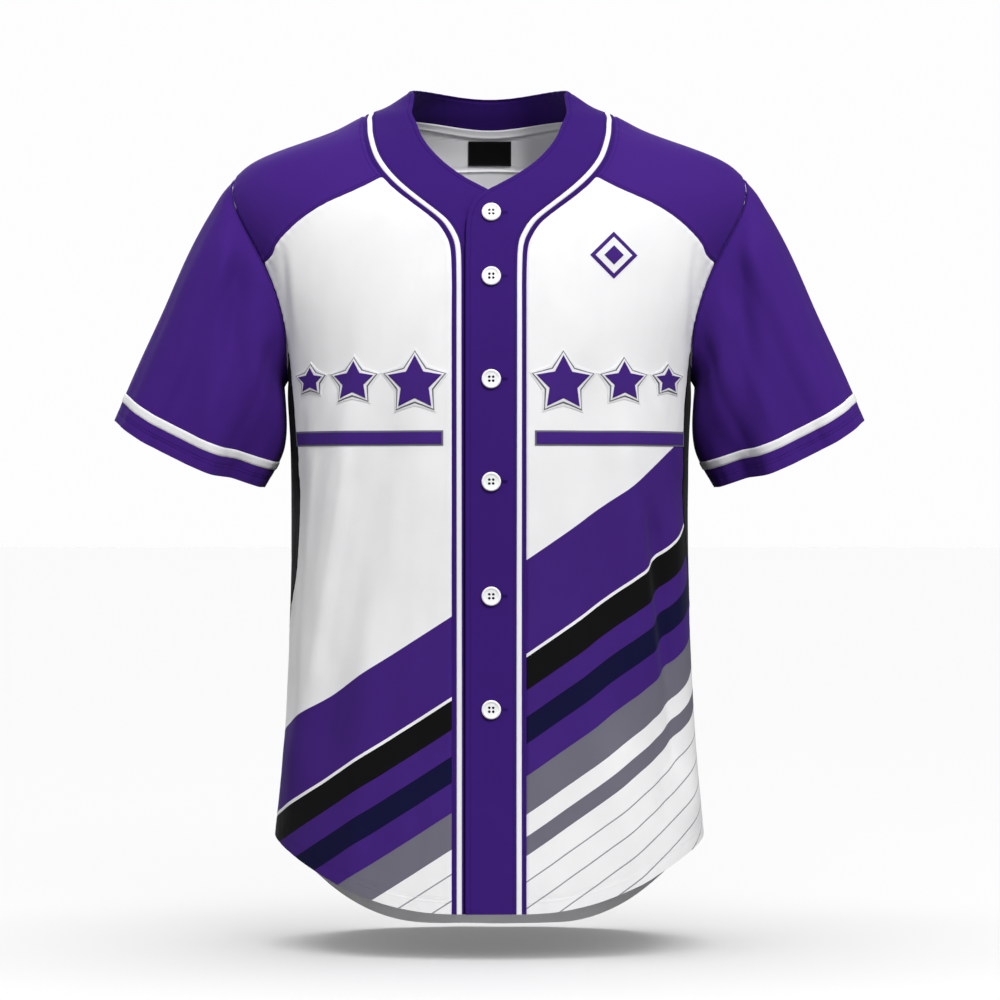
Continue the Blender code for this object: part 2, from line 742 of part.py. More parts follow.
def make_front(name, side, material):
    rows = ROWS_BELOW_ARM + ROWS_AT_ARM_FRONT
    knots = band_knots()[: rows + 1]
    left = band_edge_places(knots, sewn_edge_at, PLACKET_SEWN_X)
    right = np.concatenate([side_edge(0), armhole(arm_angles_front())[1:]])
    bottom = hem_places(left[0][0], right[0][0], FRONT_COLUMNS)
    grid = coons(bottom, yoke_front_places(), left, right)
    points, normals = on_body(sided(grid, side))
    on_arm = (slice(ROWS_BELOW_ARM, None), -1)
    armhole_edge(points, normals, on_arm, arm_angles_front(), side)
    drawn = drawn_in(points, "tl")
    below = slice(0, ROWS_BELOW_ARM + 1)
    drawn[below, -1] += seam_step(points[below, -1], points[below, -2])
    return wall(name, drawn, normals, material)


def make_back(name, material):
    arm = armhole(arm_angles_back())
    left = np.concatenate([side_edge(1), arm[1:]])
    right = np.stack([360 - left[:, 0], left[:, 1]], axis=1)
    half = yoke_back_places()
    top = np.concatenate([half, [[360 - a, z] for a, z in half[-2::-1]]])
    bottom = hem_places(left[0][0], right[0][0], 2 * STEPS_NECK_BACK)
    points, normals = on_body(coons(bottom, top, left, right))
    first = ROWS_BELOW_ARM
    for side, column in ((1, 0), (-1, -1)):
        on_arm = (slice(first, None), column)
        armhole_edge(points, normals, on_arm, arm_angles_back(), side)
    drawn = drawn_in(points, "t")
    below = slice(0, first + 1)
    for column, inner in ((0, 1), (-1, -2)):
        drawn[below, column] += seam_step(points[below, column], points[below, inner])
    return wall(name, drawn, normals, material)


def make_side(name, side, material):
    arm_angles = np.linspace(SIDE_ARM_FRONT, SIDE_ARM_BACK, SIDE_COLUMNS + 1)
    left, right = side_edge(0), side_edge(1)
    bottom = hem_places(left[0][0], right[0][0], SIDE_COLUMNS)
    points, normals = on_body(sided(coons(bottom, armhole(arm_angles), left, right), side))
    armhole_edge(points, normals, (-1, slice(None)), arm_angles, side)
    return wall(name, drawn_in(points, "lr"), normals, material)


def yoke_half():
    """Grid of places on the left of the yoke, and the armhole angles of its outer edge."""
    rows = ROWS_BELOW_ARM + ROWS_AT_ARM_FRONT
    inner = sewn_edge_at(band_knots()[rows:])
    over = np.concatenate(
        [
            np.linspace(YOKE_ARM_FRONT, 0, STEPS_NECK_FRONT + 1),
            np.linspace(360, YOKE_ARM_BACK, STEPS_NECK_SIDE + 1)[1:],
        ]
    )
    outer = np.concatenate([armhole(over), yoke_back_places()[1:]])
    share = np.linspace(0, 1, FRONT_COLUMNS + 1)[None, :, None]
    grid = inner[:, None] * (1 - share) + outer[:, None] * share
    fade = (1 - np.linspace(0, 1, STEPS_NECK_FRONT + 1) ** 0.5)[:, None, None]
    grid[: STEPS_NECK_FRONT + 1] += (yoke_front_places() - grid[0])[None] * fade
    return grid, over


def make_yoke(name, material):
    grid, over = yoke_half()
    halves = []
    for side in (1, -1):
        points, normals = on_body(sided(grid, side))
        armhole_edge(points, normals, (slice(0, len(over)), -1), over, side)
        drawn = drawn_in(points, "bl")
        behind = slice(len(over) - 1, None)
        drawn[behind, -1] += seam_step(points[behind, -1], points[behind, -2])
        halves.append((drawn, normals))
    (left, left_normals), (right, right_normals) = halves
    points = np.concatenate([left, right[-2::-1]])
    normals = np.concatenate([left_normals, right_normals[-2::-1]])
    return wall(name, points, normals, material)


def sleeve_angles():
    """Angles round the arm of every point that a body panel has on the armhole."""
    front = arm_angles_front()
    under = np.linspace(SIDE_ARM_FRONT, SIDE_ARM_BACK, SIDE_COLUMNS + 1)
    back = arm_angles_back()
    over_back = np.linspace(YOKE_ARM_BACK, 360, STEPS_NECK_SIDE + 1)
    over_front = np.linspace(0, YOKE_ARM_FRONT, STEPS_NECK_FRONT + 1)
    angles = [*over_front[1:], *front[::-1][1:], *under[1:], *back[1:], *over_back[1:]]
    return np.array(angles)


def make_sleeve(name, side, material):
    angles = sleeve_angles()
    shares = np.linspace(0, 1, SLEEVE_ROWS + 1)
    points = np.stack([sleeve(angles, s) for s in shares])
    normals = np.stack([sleeve_normals(angles, np.full(len(angles), s)) for s in shares])
    outward = np.array([1, 0, -0.3]) * SEAM_GAP / 2
    points[0] = armhole_points(angles) + outward
    normals[0] = edge_normals(angles, normals[1])
    mirror = np.array([side, 1, 1])
    return wall(name, points * mirror, normals * mirror, material, closed=True)


def shares_from_cuff(angles, distance):
    """The shares of the sleeve's length that lie a distance up from the cuff."""
    shares = np.linspace(0.5, 1, 60)
    lines = np.stack([sleeve(angles, s) for s in shares])
    steps = np.linalg.norm(np.diff(lines, axis=0), axis=2)
    left = np.concatenate([np.cumsum(steps[::-1], axis=0)[::-1], np.zeros((1, len(angles)))])
    found = [np.interp(distance, left[::-1, i], shares[::-1]) for i in range(len(angles))]
    return np.array(found)


def make_stripe(name, side, material):
    angles = sleeve_angles()
    points, normals = [], []
    for distance in (STRIPE_FROM_CUFF + STRIPE_WIDTH, STRIPE_FROM_CUFF):
        shares = shares_from_cuff(angles, distance)
        normal = sleeve_normals(angles, shares)
        points.append(sleeve(angles, shares) + normal * (LAYER_GAP + BRAID))
        normals.append(normal)
    mirror = np.array([side, 1, 1])
    points, normals = np.stack(points) * mirror, np.stack(normals) * mirror
    return wall(name, points, normals, material, BRAID, closed=True)


def make_tape(name, material):
    """The tape inside the back of the neck, along the seam of the band."""

    def tape(points, normals):
        rows = STEPS_NECK_BACK + TAPE_STEPS_PAST_SHOULDER
        sewn, middle, low = points[-rows:, 4], points[-rows:, 3], points[-rows:, 2]
        share = (TAPE_WIDTH - PIPING_INSET) / PIPING_WIDTH
        strip = np.stack([sewn, middle, middle + (low - middle) * share], axis=1)
        way = np.stack([normals[-rows:, 4], normals[-rows:, 3], normals[-rows:, 3]], axis=1)
        return drawn_in(strip, "l") - way * (CLOTH + LAYER_GAP), way

    return wall(name, *round_the_neck(tape), material, BRAID)


def make_label(name, material):
    """The label on the inside of the yoke, below the tape."""
    x = np.linspace(-LABEL_HALF_WIDTH, LABEL_HALF_WIDTH, 7)
    rows = []
    for z in np.linspace(LABEL_BOTTOM, LABEL_TOP, 3):
        rows.append(np.stack([back_angle(x, z), np.full(len(x), z)], axis=1))
    points, normals = on_body(np.stack(rows))
    points = points - normals * (CLOTH + LAYER_GAP)
    return wall(name, points, normals, material, thickness=BRAID)


def turned(name, profile, steps):
    """A solid turned round Z from (radius, height) points, with flat ends."""
    vertices, faces = [], []
    for radius, height in profile:
        for i in range(steps):
            turn = 2 * math.pi * i / steps
            vertices.append((radius * math.cos(turn), radius * math.sin(turn), height))
    for ring in range(len(profile) - 1):
        for i in range(steps):
            j = (i + 1) % steps
            a, b = ring * steps, (ring + 1) * steps
            faces.append((a + i, a + j, b + j, b + i))
    faces.append(tuple(reversed(range(steps))))
    faces.append(tuple((len(profile) - 1) * steps + i for i in range(steps)))
    mesh = bpy.data.meshes.new(name)
    mesh.from_pydata([tuple(c * MM for c in v) for v in vertices], [], faces)
    return mesh


def button_mesh(material):
    """A four-hole button lying on its back, with a rolled rim."""
    blank = bpy.data.objects.new(
        "button_blank",
        turned(
            "button_blank",
            [
                (BUTTON_RADIUS - 1.2, 0),
                (BUTTON_RADIUS, 1.0),
                (BUTTON_RADIUS - 0.8, BUTTON_THICKNESS),
                (BUTTON_RADIUS - 3.0, BUTTON_THICKNESS - 0.7),
            ],
            16,
        ),
    )
    bpy.context.scene.collection.objects.link(blank)
    pins = []
    for sx in (-0.5, 0.5):
        for sy in (-0.5, 0.5):
            pin = turned("hole", [(BUTTON_HOLE_RADIUS, -1), (BUTTON_HOLE_RADIUS, 4)], 6)
            pin.transform(Matrix.Translation(Vector((sx, sy, 0)) * BUTTON_HOLE_SPACING * MM))
            pins.append(pin)
    for i, pin in enumerate(pins):
        cutter = bpy.data.objects.new(f"hole_cutter_{i}", pin)
        cutter.hide_render = True
        cutter.display_type = "WIRE"
        bpy.context.scene.collection.objects.link(cutter)
        cut = blank.modifiers.new(f"hole_{i}", "BOOLEAN")
        cut.operation = "DIFFERENCE"
        cut.object = cutter
    bpy.context.view_layer.update()
    graph = bpy.context.evaluated_depsgraph_get()
    mesh = bpy.data.meshes.new_from_object(blank.evaluated_get(graph))
    mesh.name = "button"
    mesh.materials.clear()
    mesh.materials.append(material)
    mesh.shade_smooth()
    mesh.set_sharp_from_angle(angle=math.radians(35))
    for obj in [blank, *[m.object for m in blank.modifiers]]:
        bpy.data.objects.remove(obj)
    return mesh


def make_buttons(material):
    mesh = button_mesh(material)
    for number, height in enumerate(BUTTON_HEIGHTS, 1):
        angle = front_angle(BUTTON_X, height)
        normal = Vector(body_normals(angle, np.array([height], float))[0])
        place = Vector(body(angle, np.array([height], float))[0])
        place += normal * (BAND_LIFT + LAYER_GAP)
        button = bpy.data.objects.new(f"button_{number}", mesh)
        button.location = place * MM
        button.rotation_mode = "QUATERNION"
        button.rotation_quaternion = normal.to_track_quat("Z", "Y")
        bpy.context.scene.collection.objects.link(button)


def main():
    for obj in list(bpy.data.objects):
        bpy.data.objects.remove(obj)
    purple = material_named("purple_cloth", PURPLE)
    white = material_named("white_cloth", WHITE)
    black = material_named("black_cloth", BLACK)
    plastic = material_named("button_plastic", BUTTON_WHITE)
    for word, side in (("left", 1), ("right", -1)):
        make_front(f"front_{word}", side, white)
        make_side(f"side_panel_{word}", side, black)
        make_sleeve(f"sleeve_{word}", side, purple)
        make_stripe(f"sleeve_stripe_{word}", side, white)
    make_back("back", white)
    make_yoke("yoke", purple)
    make_band("front_band", purple)
    make_piping("piping", white)
    make_tape("neck_tape", white)
    make_label("neck_label", black)
    make_buttons(plastic)


main()
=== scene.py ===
import json
import math
from collections import namedtuple

import bpy
import numpy as np
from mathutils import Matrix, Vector

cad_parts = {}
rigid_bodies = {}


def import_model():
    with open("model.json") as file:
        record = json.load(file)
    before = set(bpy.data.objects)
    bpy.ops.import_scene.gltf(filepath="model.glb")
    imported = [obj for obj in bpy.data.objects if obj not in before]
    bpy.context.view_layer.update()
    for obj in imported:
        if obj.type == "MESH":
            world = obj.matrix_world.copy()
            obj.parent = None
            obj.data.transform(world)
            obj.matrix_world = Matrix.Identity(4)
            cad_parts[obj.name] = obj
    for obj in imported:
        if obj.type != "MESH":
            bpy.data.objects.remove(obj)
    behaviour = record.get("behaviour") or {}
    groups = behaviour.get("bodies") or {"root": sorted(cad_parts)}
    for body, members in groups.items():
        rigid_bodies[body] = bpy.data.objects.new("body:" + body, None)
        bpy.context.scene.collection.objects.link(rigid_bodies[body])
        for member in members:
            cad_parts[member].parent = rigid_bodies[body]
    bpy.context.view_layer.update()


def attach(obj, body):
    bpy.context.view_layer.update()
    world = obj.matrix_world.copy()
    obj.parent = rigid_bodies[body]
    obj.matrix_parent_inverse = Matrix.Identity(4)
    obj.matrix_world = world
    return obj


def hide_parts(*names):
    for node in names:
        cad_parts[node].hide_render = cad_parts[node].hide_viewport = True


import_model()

MM = 0.001


def table_of(kind, rows):
    return [kind(*row) for row in rows]


# Cloth and seams
CLOTH = 1.2
LAYER_GAP = 0.3

# Body form: level sections from the collar's top edge to below the tail
Section = namedtuple("Section", "height half_width front back squareness")
BODY_SECTIONS = table_of(Section, [
    (40, 62, 20, 68, 2.0), (27, 73, 26, 78, 2.0), (17, 87, 33, 83, 2.0),
    (9, 100.5, 39, 87, 2.0), (2, 118, 45, 91, 2.02), (-11, 143.5, 55, 98, 2.05),
    (-26, 183.5, 66, 105, 2.08), (-40, 219, 75, 110, 2.1), (-55, 239, 84, 115, 2.13),
    (-75, 250, 95, 120, 2.16), (-100, 249, 105, 125, 2.2), (-130, 240, 113, 129, 2.24),
    (-165, 225, 120, 132, 2.28), (-200, 210, 125, 132, 2.32), (-240, 196, 128, 130, 2.35),
    (-290, 190, 130, 127, 2.36), (-370, 188, 130, 123, 2.36), (-460, 189, 128, 120, 2.36),
    (-515, 190.5, 128, 121, 2.35), (-572, 193.5, 128.5, 124, 2.34), (-629, 197.8, 130.5, 128, 2.33),
    (-675, 203, 133, 131, 2.3), (-730, 206, 136, 134, 2.3), (-800, 208, 138, 138, 2.3),
])

# Hem: a shirt tail that rises to the side seams and hangs lower behind
HEM_SIDE = -678
HEM_FRONT = -742
HEM_BACK = -781
HEM_FRONT_CURVE = 4.1
HEM_BACK_CURVE = 5.5

# Front band: neckband and placket in one strip on each side, from the hem to the centre
# back. Each row gives the neck or free edge and the sewn edge, seen from the front.
BandRow = namedtuple("BandRow", "free_x free_z sewn_x sewn_z")
PLACKET_FREE_X = -21.5
PLACKET_SEWN_X = 34.3
BAND_ROWS = table_of(BandRow, [
    (-21.5, -142, 34.3, -165), (-21.2, -116, 35.4, -134), (-19.4, -99, 39.5, -119.5),
    (-12.8, -84.8, 46.5, -108.5), (1.5, -74.3, 58, -98), (22, -63, 72.5, -86.8),
    (41.5, -48.8, 86.5, -75.5), (55.5, -34, 99.8, -62), (64.8, -18.8, 110.5, -46.2),
    (70, -5.5, 116.6, -28.5), (72.6, 9, 118.8, -13), (71.6, 20, 118.9, -4.5),
])
YOKE_CORNER_ROW = 7
BAND_LIFT = 1.0

# The neckband goes on round the back: its top edge and its seam at angles round the body
NeckRow = namedtuple("NeckRow", "angle top seam")
NECK_ROWS = table_of(NeckRow, [
    (90, 26.2, 2), (120, 29.3, 1), (150, 28.2, -4.5), (180, 25.8, -10),
])

# Piping on the band, measured in from its sewn edge
PIPING_INSET = 4.7
PIPING_WIDTH = 4.9

# Yoke: one piece over both shoulders. Its front edge is seen from the front.
YOKE_FRONT_EDGE = [
    (124, -74.5), (148, -85), (165, -94.5), (179, -104.5), (191, -115.5), (200, -126), (207, -137),
]
YOKE_BACK_EDGE = [(150, -52), (75, -44), (0, -41)]
YOKE_ARM_FRONT = 84
YOKE_ARM_BACK = 322

# Armhole: an egg in side view, from the shoulder point to the underarm
ARM_TOP = -57
ARM_BOTTOM = -247
ARM_HALF_DEPTH_FRONT = 57
ARM_HALF_DEPTH_BACK = 60
ARM_EGG = 0.25

# Side panels: the angle round the body of their front and back edges
SidePanel = namedtuple("SidePanel", "height front_angle back_angle")
SIDE_PANEL = table_of(SidePanel, [
    (-222, 75, 105), (-260, 75.5, 108), (-310, 76, 110), (-390, 76.5, 112),
    (-430, 80, 112.5), (-470, 86.5, 113), (-530, 92.5, 114), (-700, 96, 116),
])
SIDE_ARM_FRONT = 139
SIDE_ARM_BACK = 218

# Sleeve form: rings after the armhole, each with its outer and inner ends in front view
SleeveRing = namedtuple("SleeveRing", "outer_x outer_z inner_x inner_z front back drop")
SLEEVE_RINGS = table_of(SleeveRing, [
    (262.5, -87, 189, -262, 62, 63, 1), (288, -134, 187, -283, 66, 65, 3),
    (309, -182, 189, -304, 67, 65, 5), (330, -227.5, 199, -326, 64, 62, 7),
    (356, -287, 213.5, -351, 59, 59, 9),
])
SLEEVE_SQUARENESS = 2.05
SLEEVE_CLEARANCE = 3.5
SLEEVE_SOFTNESS = 3.0
STRIPE_FROM_CUFF = 19.3
STRIPE_WIDTH = 8.6

# Folds: a soft ridge (height above 0) or trough along a line on a form
BodyFold = namedtuple("BodyFold", "x0 z0 x1 z1 width height")
BODY_FOLDS = table_of(BodyFold, [
    (-132, -300, -178, -590, 15, 5.5), (-100, -330, -150, -560, 17, -4.5),
    (-183, -330, -187, -560, 10, -2.5), (-112, -520, -128, -700, 16, 3.5),
    (150, -400, 174, -590, 9, -5.5), (172, -400, 188, -640, 11, 4.5),
    (128, -330, 150, -520, 15, 4.5), (92, -300, 112, -560, 18, -4.0),
    (110, -600, 140, -720, 16, 3.5), (60, -560, 74, -720, 15, -1.5),
    (-60, -600, -66, -720, 15, -1.5),
])
BACK_FOLDS = table_of(BodyFold, [
    (150, -250, 128, -560, 18, 4.0), (-148, -240, -134, -540, 18, 4.0),
    (100, -300, 84, -700, 20, -4.0), (-104, -310, -80, -690, 20, -4.0),
    (40, -420, 52, -740, 18, 3.0), (-36, -380, -28, -740, 18, 3.0),
    (8, -330, 6, -740, 16, -2.5), (170, -420, 160, -700, 14, -3.0),
    (-168, -400, -164, -690, 14, -3.0),
])
FOLD_FADE = 35
ARMHOLE_TUCK = 4.0
ARMHOLE_TUCK_WIDTH = 17
SleeveFold = namedtuple("SleeveFold", "angle0 share0 angle1 share1 width height")
SLEEVE_FOLDS = table_of(SleeveFold, [
    (52, 0.25, 50, 1.05, 15, 2.5), (84, 0.12, 82, 1.0, 13, -3.0),
    (112, 0.15, 108, 1.05, 12, 3.0), (140, 0.25, 132, 1.0, 11, -3.0),
    (300, 0.2, 304, 1.05, 15, 3.0), (270, 0.15, 272, 1.0, 14, -3.5),
    (240, 0.2, 244, 1.0, 13, 3.0),
])
# Buttons, seen from the front
BUTTON_X = 2.0
BUTTON_HEIGHTS = [-98, -157.5, -252, -346, -451, -555]

# Inside the back of the neck
TAPE_WIDTH = 8.5
TAPE_STEPS_PAST_SHOULDER = 3
LABEL_HALF_WIDTH = 21
LABEL_TOP = -12.5
LABEL_BOTTOM = -35.5

# Mesh steps. Pieces that meet share these, so that their edges run point for point.
ROWS_BELOW_ARM = 15
ROWS_AT_ARM_FRONT = 6
ROWS_AT_ARM_BACK = 8
ROWS_ON_V = 7
STEPS_NECK_FRONT = 8
STEPS_NECK_SIDE = 7
STEPS_NECK_BACK = 9
FRONT_COLUMNS = 11
SIDE_COLUMNS = 5
SLEEVE_ROWS = 9


def smooth(value, start, end):
    """0 before start, 1 after end, and an even S between them."""
    t = np.clip((np.asarray(value, float) - start) / (end - start), 0, 1)
    return t * t * (3 - 2 * t)


def spline(knots, values):
    """A cubic curve through values at rising knots, with no bend at its two ends."""
    k = np.asarray(knots, float)
    v = np.asarray(values, float).reshape(len(k), -1)
    h = np.diff(k)
    slope = np.diff(v, axis=0) / h[:, None]
    matrix = np.eye(len(k))
    right = np.zeros_like(v)
    for i in range(1, len(k) - 1):
        matrix[i, i - 1 : i + 2] = h[i - 1], 2 * (h[i - 1] + h[i]), h[i]
        right[i] = 6 * (slope[i] - slope[i - 1])
    bend = np.linalg.solve(matrix, right)

    def at(where):
        t = np.atleast_1d(np.asarray(where, float))
        i = np.clip(np.searchsorted(k, t) - 1, 0, len(h) - 1)
        a = (k[i + 1] - t)[:, None]
        b = (t - k[i])[:, None]
        g = h[i][:, None]
        return (
            (bend[i] * a**3 + bend[i + 1] * b**3) / (6 * g)
            + (v[i] / g - bend[i] * g / 6) * a
            + (v[i + 1] / g - bend[i + 1] * g / 6) * b
        )

    return at


def run_along(points):
    """The length from the first point of a line to each of its points."""
    return np.concatenate([[0], np.cumsum(np.linalg.norm(np.diff(points, axis=0), axis=1))])


def curve_through(points):
    """A cubic curve through points, as a function of the share of its length, 0 to 1."""
    p = np.asarray(points, float)
    knots = run_along(p)
    at = spline(knots / knots[-1], p)
    dense = at(np.linspace(0, 1, 400))
    run = run_along(dense)

    def even(share):
        return at(np.interp(np.atleast_1d(share), run / run[-1], np.linspace(0, 1, 400)))

    return even


section_at = spline(
    [s.height for s in reversed(BODY_SECTIONS)],
    [s[1:] for s in reversed(BODY_SECTIONS)],
)
side_panel_at = spline(
    [-s.height for s in SIDE_PANEL],
    [(s.front_angle, s.back_angle) for s in SIDE_PANEL],
)


def ridge_lines(x, z, folds):
    """The sum of the folds at points given in front view."""
    total = np.zeros_like(x)
    for f in folds:
        along = np.array([f.x1 - f.x0, f.z1 - f.z0], float)
        length = np.linalg.norm(along)
        along /= length
        run = (x - f.x0) * along[0] + (z - f.z0) * along[1]
        across = (x - f.x0) * along[1] - (z - f.z0) * along[0]
        past = np.maximum(0, np.maximum(-run, run - length)) / (3 * f.width)
        total += f.height * np.exp(-((across / f.width) ** 2) - past**2)
    return total


def plain_body(angle, height):
    """Points of the body form before folds. Angles are in degrees, below 0 on the right."""
    turn = np.radians(np.asarray(angle, float))
    width, front, back, power = section_at(height).T
    depth = np.where(np.cos(turn) > 0, front, back)
    reach = (
        np.abs(np.sin(turn) / width) ** power + np.abs(np.cos(turn) / depth) ** power
    ) ** (-1 / power)
    return np.stack([reach * np.sin(turn), -reach * np.cos(turn), height], axis=1)


def normals_of(form, a, b, step_a, step_b):
    """Outward unit normals of a form, from its slopes at parameters a and b."""
    along_a = form(a + step_a, b) - form(a - step_a, b)
    along_b = form(a, b + step_b) - form(a, b - step_b)
    n = np.cross(along_a, along_b)
    return n / np.linalg.norm(n, axis=1)[:, None]


def plain_normals(angle, height):
    return normals_of(plain_body, angle, height, 0.3, 0.5)


def armhole_depth(turn):
    """Depth of the armhole's edge in side view, at angles round the arm in radians."""
    half = np.where(np.sin(turn) > 0, ARM_HALF_DEPTH_FRONT, ARM_HALF_DEPTH_BACK)
    return -half * np.sin(turn) * (1 - ARM_EGG * np.cos(turn))


def armhole_tuck(points):
    """How far the cloth turns in towards the armhole seam, and how far off the seam is."""
    turn = np.radians(np.linspace(0, 360, 73))
    edge_y = armhole_depth(turn)
    edge_z = (ARM_TOP + ARM_BOTTOM) / 2 + (ARM_TOP - ARM_BOTTOM) / 2 * np.cos(turn)
    away = np.hypot(
        points[:, 1, None] - edge_y[None, :], points[:, 2, None] - edge_z[None, :]
    ).min(axis=1)
    near_side = smooth(np.abs(points[:, 0]), 140, 180)
    lower = smooth(points[:, 2], -85, -150) * smooth(points[:, 2], -300, -235)
    tuck = ARMHOLE_TUCK * np.exp(-((away / ARMHOLE_TUCK_WIDTH) ** 2))
    return tuck * near_side * lower, away


def body(angle, height):
    """Points on the outside of the body form, folds and all."""
    angle = np.atleast_1d(np.asarray(angle, float))
    height = np.broadcast_to(np.asarray(height, float), angle.shape)
    points = plain_body(angle, height)
    in_front = np.cos(np.radians(angle)) > 0
    x = points[:, 0]
    round_side = smooth(np.abs(np.cos(np.radians(angle))), 0, 0.2)
    push = ridge_lines(x, height, BODY_FOLDS) * in_front
    push += ridge_lines(x, height, BACK_FOLDS) * ~in_front
    tuck, away = armhole_tuck(points)
    push = push * round_side * smooth(away, 2, FOLD_FADE) - tuck
    return points + plain_normals(angle, height) * push[:, None]


def body_normals(angle, height):
    return normals_of(body, angle, height, 0.3, 0.5)


def front_angle(x, z):
    """The angle round the body of front points given by x and height."""
    x, z = np.broadcast_arrays(np.asarray(x, float), np.asarray(z, float))
    width, front, _, power = section_at(z).T
    y = front * (1 - np.minimum(1, np.abs(x) / width) ** power) ** (1 / power)
    return np.degrees(np.arctan2(x, y))


def back_angle(x, z):
    """The angle round the body of back points given by x and height."""
    x, z = np.broadcast_arrays(np.asarray(x, float), np.asarray(z, float))
    width, _, back, power = section_at(z).T
    y = back * (1 - np.minimum(1, np.abs(x) / width) ** power) ** (1 / power)
    return 180 - np.degrees(np.arctan2(x, y))


def hem_height(angle):
    turn = np.radians(angle)
    in_front = np.cos(turn) > 0
    low = np.where(in_front, HEM_FRONT, HEM_BACK)
    curve = np.where(in_front, HEM_FRONT_CURVE, HEM_BACK_CURVE)
    return low + (HEM_SIDE - low) * np.abs(np.sin(turn)) ** curve


def armhole(angle):
    """The armhole's edge as places on the body form, for angles round the arm."""
    turn = np.radians(np.asarray(angle, float))
    y = armhole_depth(turn)
    z = (ARM_TOP + ARM_BOTTOM) / 2 + (ARM_TOP - ARM_BOTTOM) / 2 * np.cos(turn)
    width, front, back, power = section_at(z).T
    depth = np.where(y < 0, front, back)
    x = width * (1 - (np.abs(y) / depth) ** power) ** (1 / power)
    return np.stack([np.degrees(np.arctan2(x, -y)), z], axis=1)


def armhole_points(angle):
    place = armhole(angle)
    return body(place[:, 0], place[:, 1])


def sleeve_ring(ring, angle):
    turn = np.radians(angle)
    outer = np.array([ring.outer_x, 0, ring.outer_z], float)
    inner = np.array([ring.inner_x, 0, ring.inner_z], float)
    middle = (outer + inner) / 2
    across = (outer - inner) / 2
    down = np.array([-across[2], 0, across[0]]) * -1
    down /= np.linalg.norm(down)
    e = 2 / SLEEVE_SQUARENESS
    c = np.sign(np.cos(turn)) * np.abs(np.cos(turn)) ** e
    s = np.sign(np.sin(turn)) * np.abs(np.sin(turn)) ** e
    depth = np.where(s > 0, ring.front, ring.back)
    points = middle + c[:, None] * across - (s * depth)[:, None] * np.array([0, 1, 0])
    return points + (s * np.abs(s) * ring.drop)[:, None] * down


def clear_of_body(points):
    """Moves sleeve points that would lie against the body outwards, softly."""
    width, front, back, power = section_at(points[:, 2]).T
    depth = np.where(points[:, 1] < 0, front, back)
    inside = np.clip(1 - np.minimum(1, np.abs(points[:, 1]) / depth) ** power, 0, 1)
    least = width * inside ** (1 / power) + SLEEVE_CLEARANCE
    over = (points[:, 0] - least) / SLEEVE_SOFTNESS
    soft = np.where(over > 6, over, np.log1p(np.exp(np.minimum(over, 6))))
    moved = points.copy()
    moved[:, 0] = least + SLEEVE_SOFTNESS * soft
    return moved


SLEEVE_KNOTS = np.array([0, 0.17, 0.38, 0.58, 0.77, 1.0])


def seam_normals(angle):
    """Direction that both walls share at the armhole: out from the arm, in side view."""
    turn = np.radians(np.asarray(angle, float))
    return np.stack([np.zeros_like(turn), -np.sin(turn), np.cos(turn)], axis=1)


def sided(places, side):
    """Places on the body form moved to the wearer's left (1) or right (-1) side."""
    return places * np.array([side, 1])


def on_form(form, grid):
    """Outside points and normals of a grid of places on one of the body's two forms."""
    angle, height = grid.reshape(-1, 2).T
    points = form(angle, height).reshape(*grid.shape[:2], 3)
    return points, body_normals(angle, height).reshape(points.shape)


def band_edges():
    """The band's free and sewn edges as curves of places from above the placket to the
    centre back, and the shares of those curves at the front, side and back of the neck."""
    free = [(float(front_angle(r.free_x, r.free_z)[0]), r.free_z) for r in BAND_ROWS]
    sewn = [(float(front_angle(r.sewn_x, r.sewn_z)[0]), r.sewn_z) for r in BAND_ROWS]
    free += [(r.angle, r.top) for r in NECK_ROWS]
    sewn += [(r.angle, r.seam) for r in NECK_ROWS]
    for edge in (free, sewn):
        edge += [(360 - angle, height) for angle, height in edge[-2:-4:-1]]
    return free, sewn


FREE_PLACES, SEWN_PLACES = band_edges()
BAND_KNOTS = np.arange(len(FREE_PLACES), dtype=float)
free_edge_at = spline(BAND_KNOTS, FREE_PLACES)
sewn_edge_at = spline(BAND_KNOTS, SEWN_PLACES)
NECK_SIDE_KNOT = float(len(BAND_ROWS))
NECK_BACK_KNOT = NECK_SIDE_KNOT + len(NECK_ROWS) - 1
YOKE_KNOT = float(YOKE_CORNER_ROW)
YOKE_ARM_KNOT = NECK_SIDE_KNOT + 1.0
DEGREES_TO_MM = np.array([1.9, 1.0])


def band_knots():
    """Where the band's rows lie: -1 at the hem, 0 on top of the placket, then the neck."""
    rows = ROWS_BELOW_ARM + ROWS_AT_ARM_FRONT - ROWS_ON_V
    dense = np.linspace(0, YOKE_KNOT, 401)
    run = run_along(sewn_edge_at(dense) * DEGREES_TO_MM)
    on_v = np.interp(np.linspace(0, run[-1], ROWS_ON_V + 1), run, dense)
    return np.concatenate(
        [
            np.linspace(-1, 0, rows + 1),
            on_v[1:],
            np.linspace(YOKE_KNOT, NECK_SIDE_KNOT, STEPS_NECK_FRONT + 1)[1:],
            np.linspace(NECK_SIDE_KNOT, YOKE_ARM_KNOT, STEPS_NECK_SIDE + 1)[1:],
            np.linspace(YOKE_ARM_KNOT, NECK_BACK_KNOT, STEPS_NECK_BACK + 1)[1:],
        ]
    )


def band_edge_places(knots, edge_at, x):
    """Places along one edge of the band, from the hem up at a fixed x, then the curve."""
    places = []
    for knot in knots:
        if knot < 0:
            bottom = float(hem_height(front_angle(x, HEM_FRONT))[0])
            z = bottom + (edge_at(0.0)[0][1] - bottom) * (knot + 1)
            places.append((float(front_angle(x, z)[0]), z))
        else:
            places.append(tuple(edge_at(knot)[0]))
    return np.array(places)


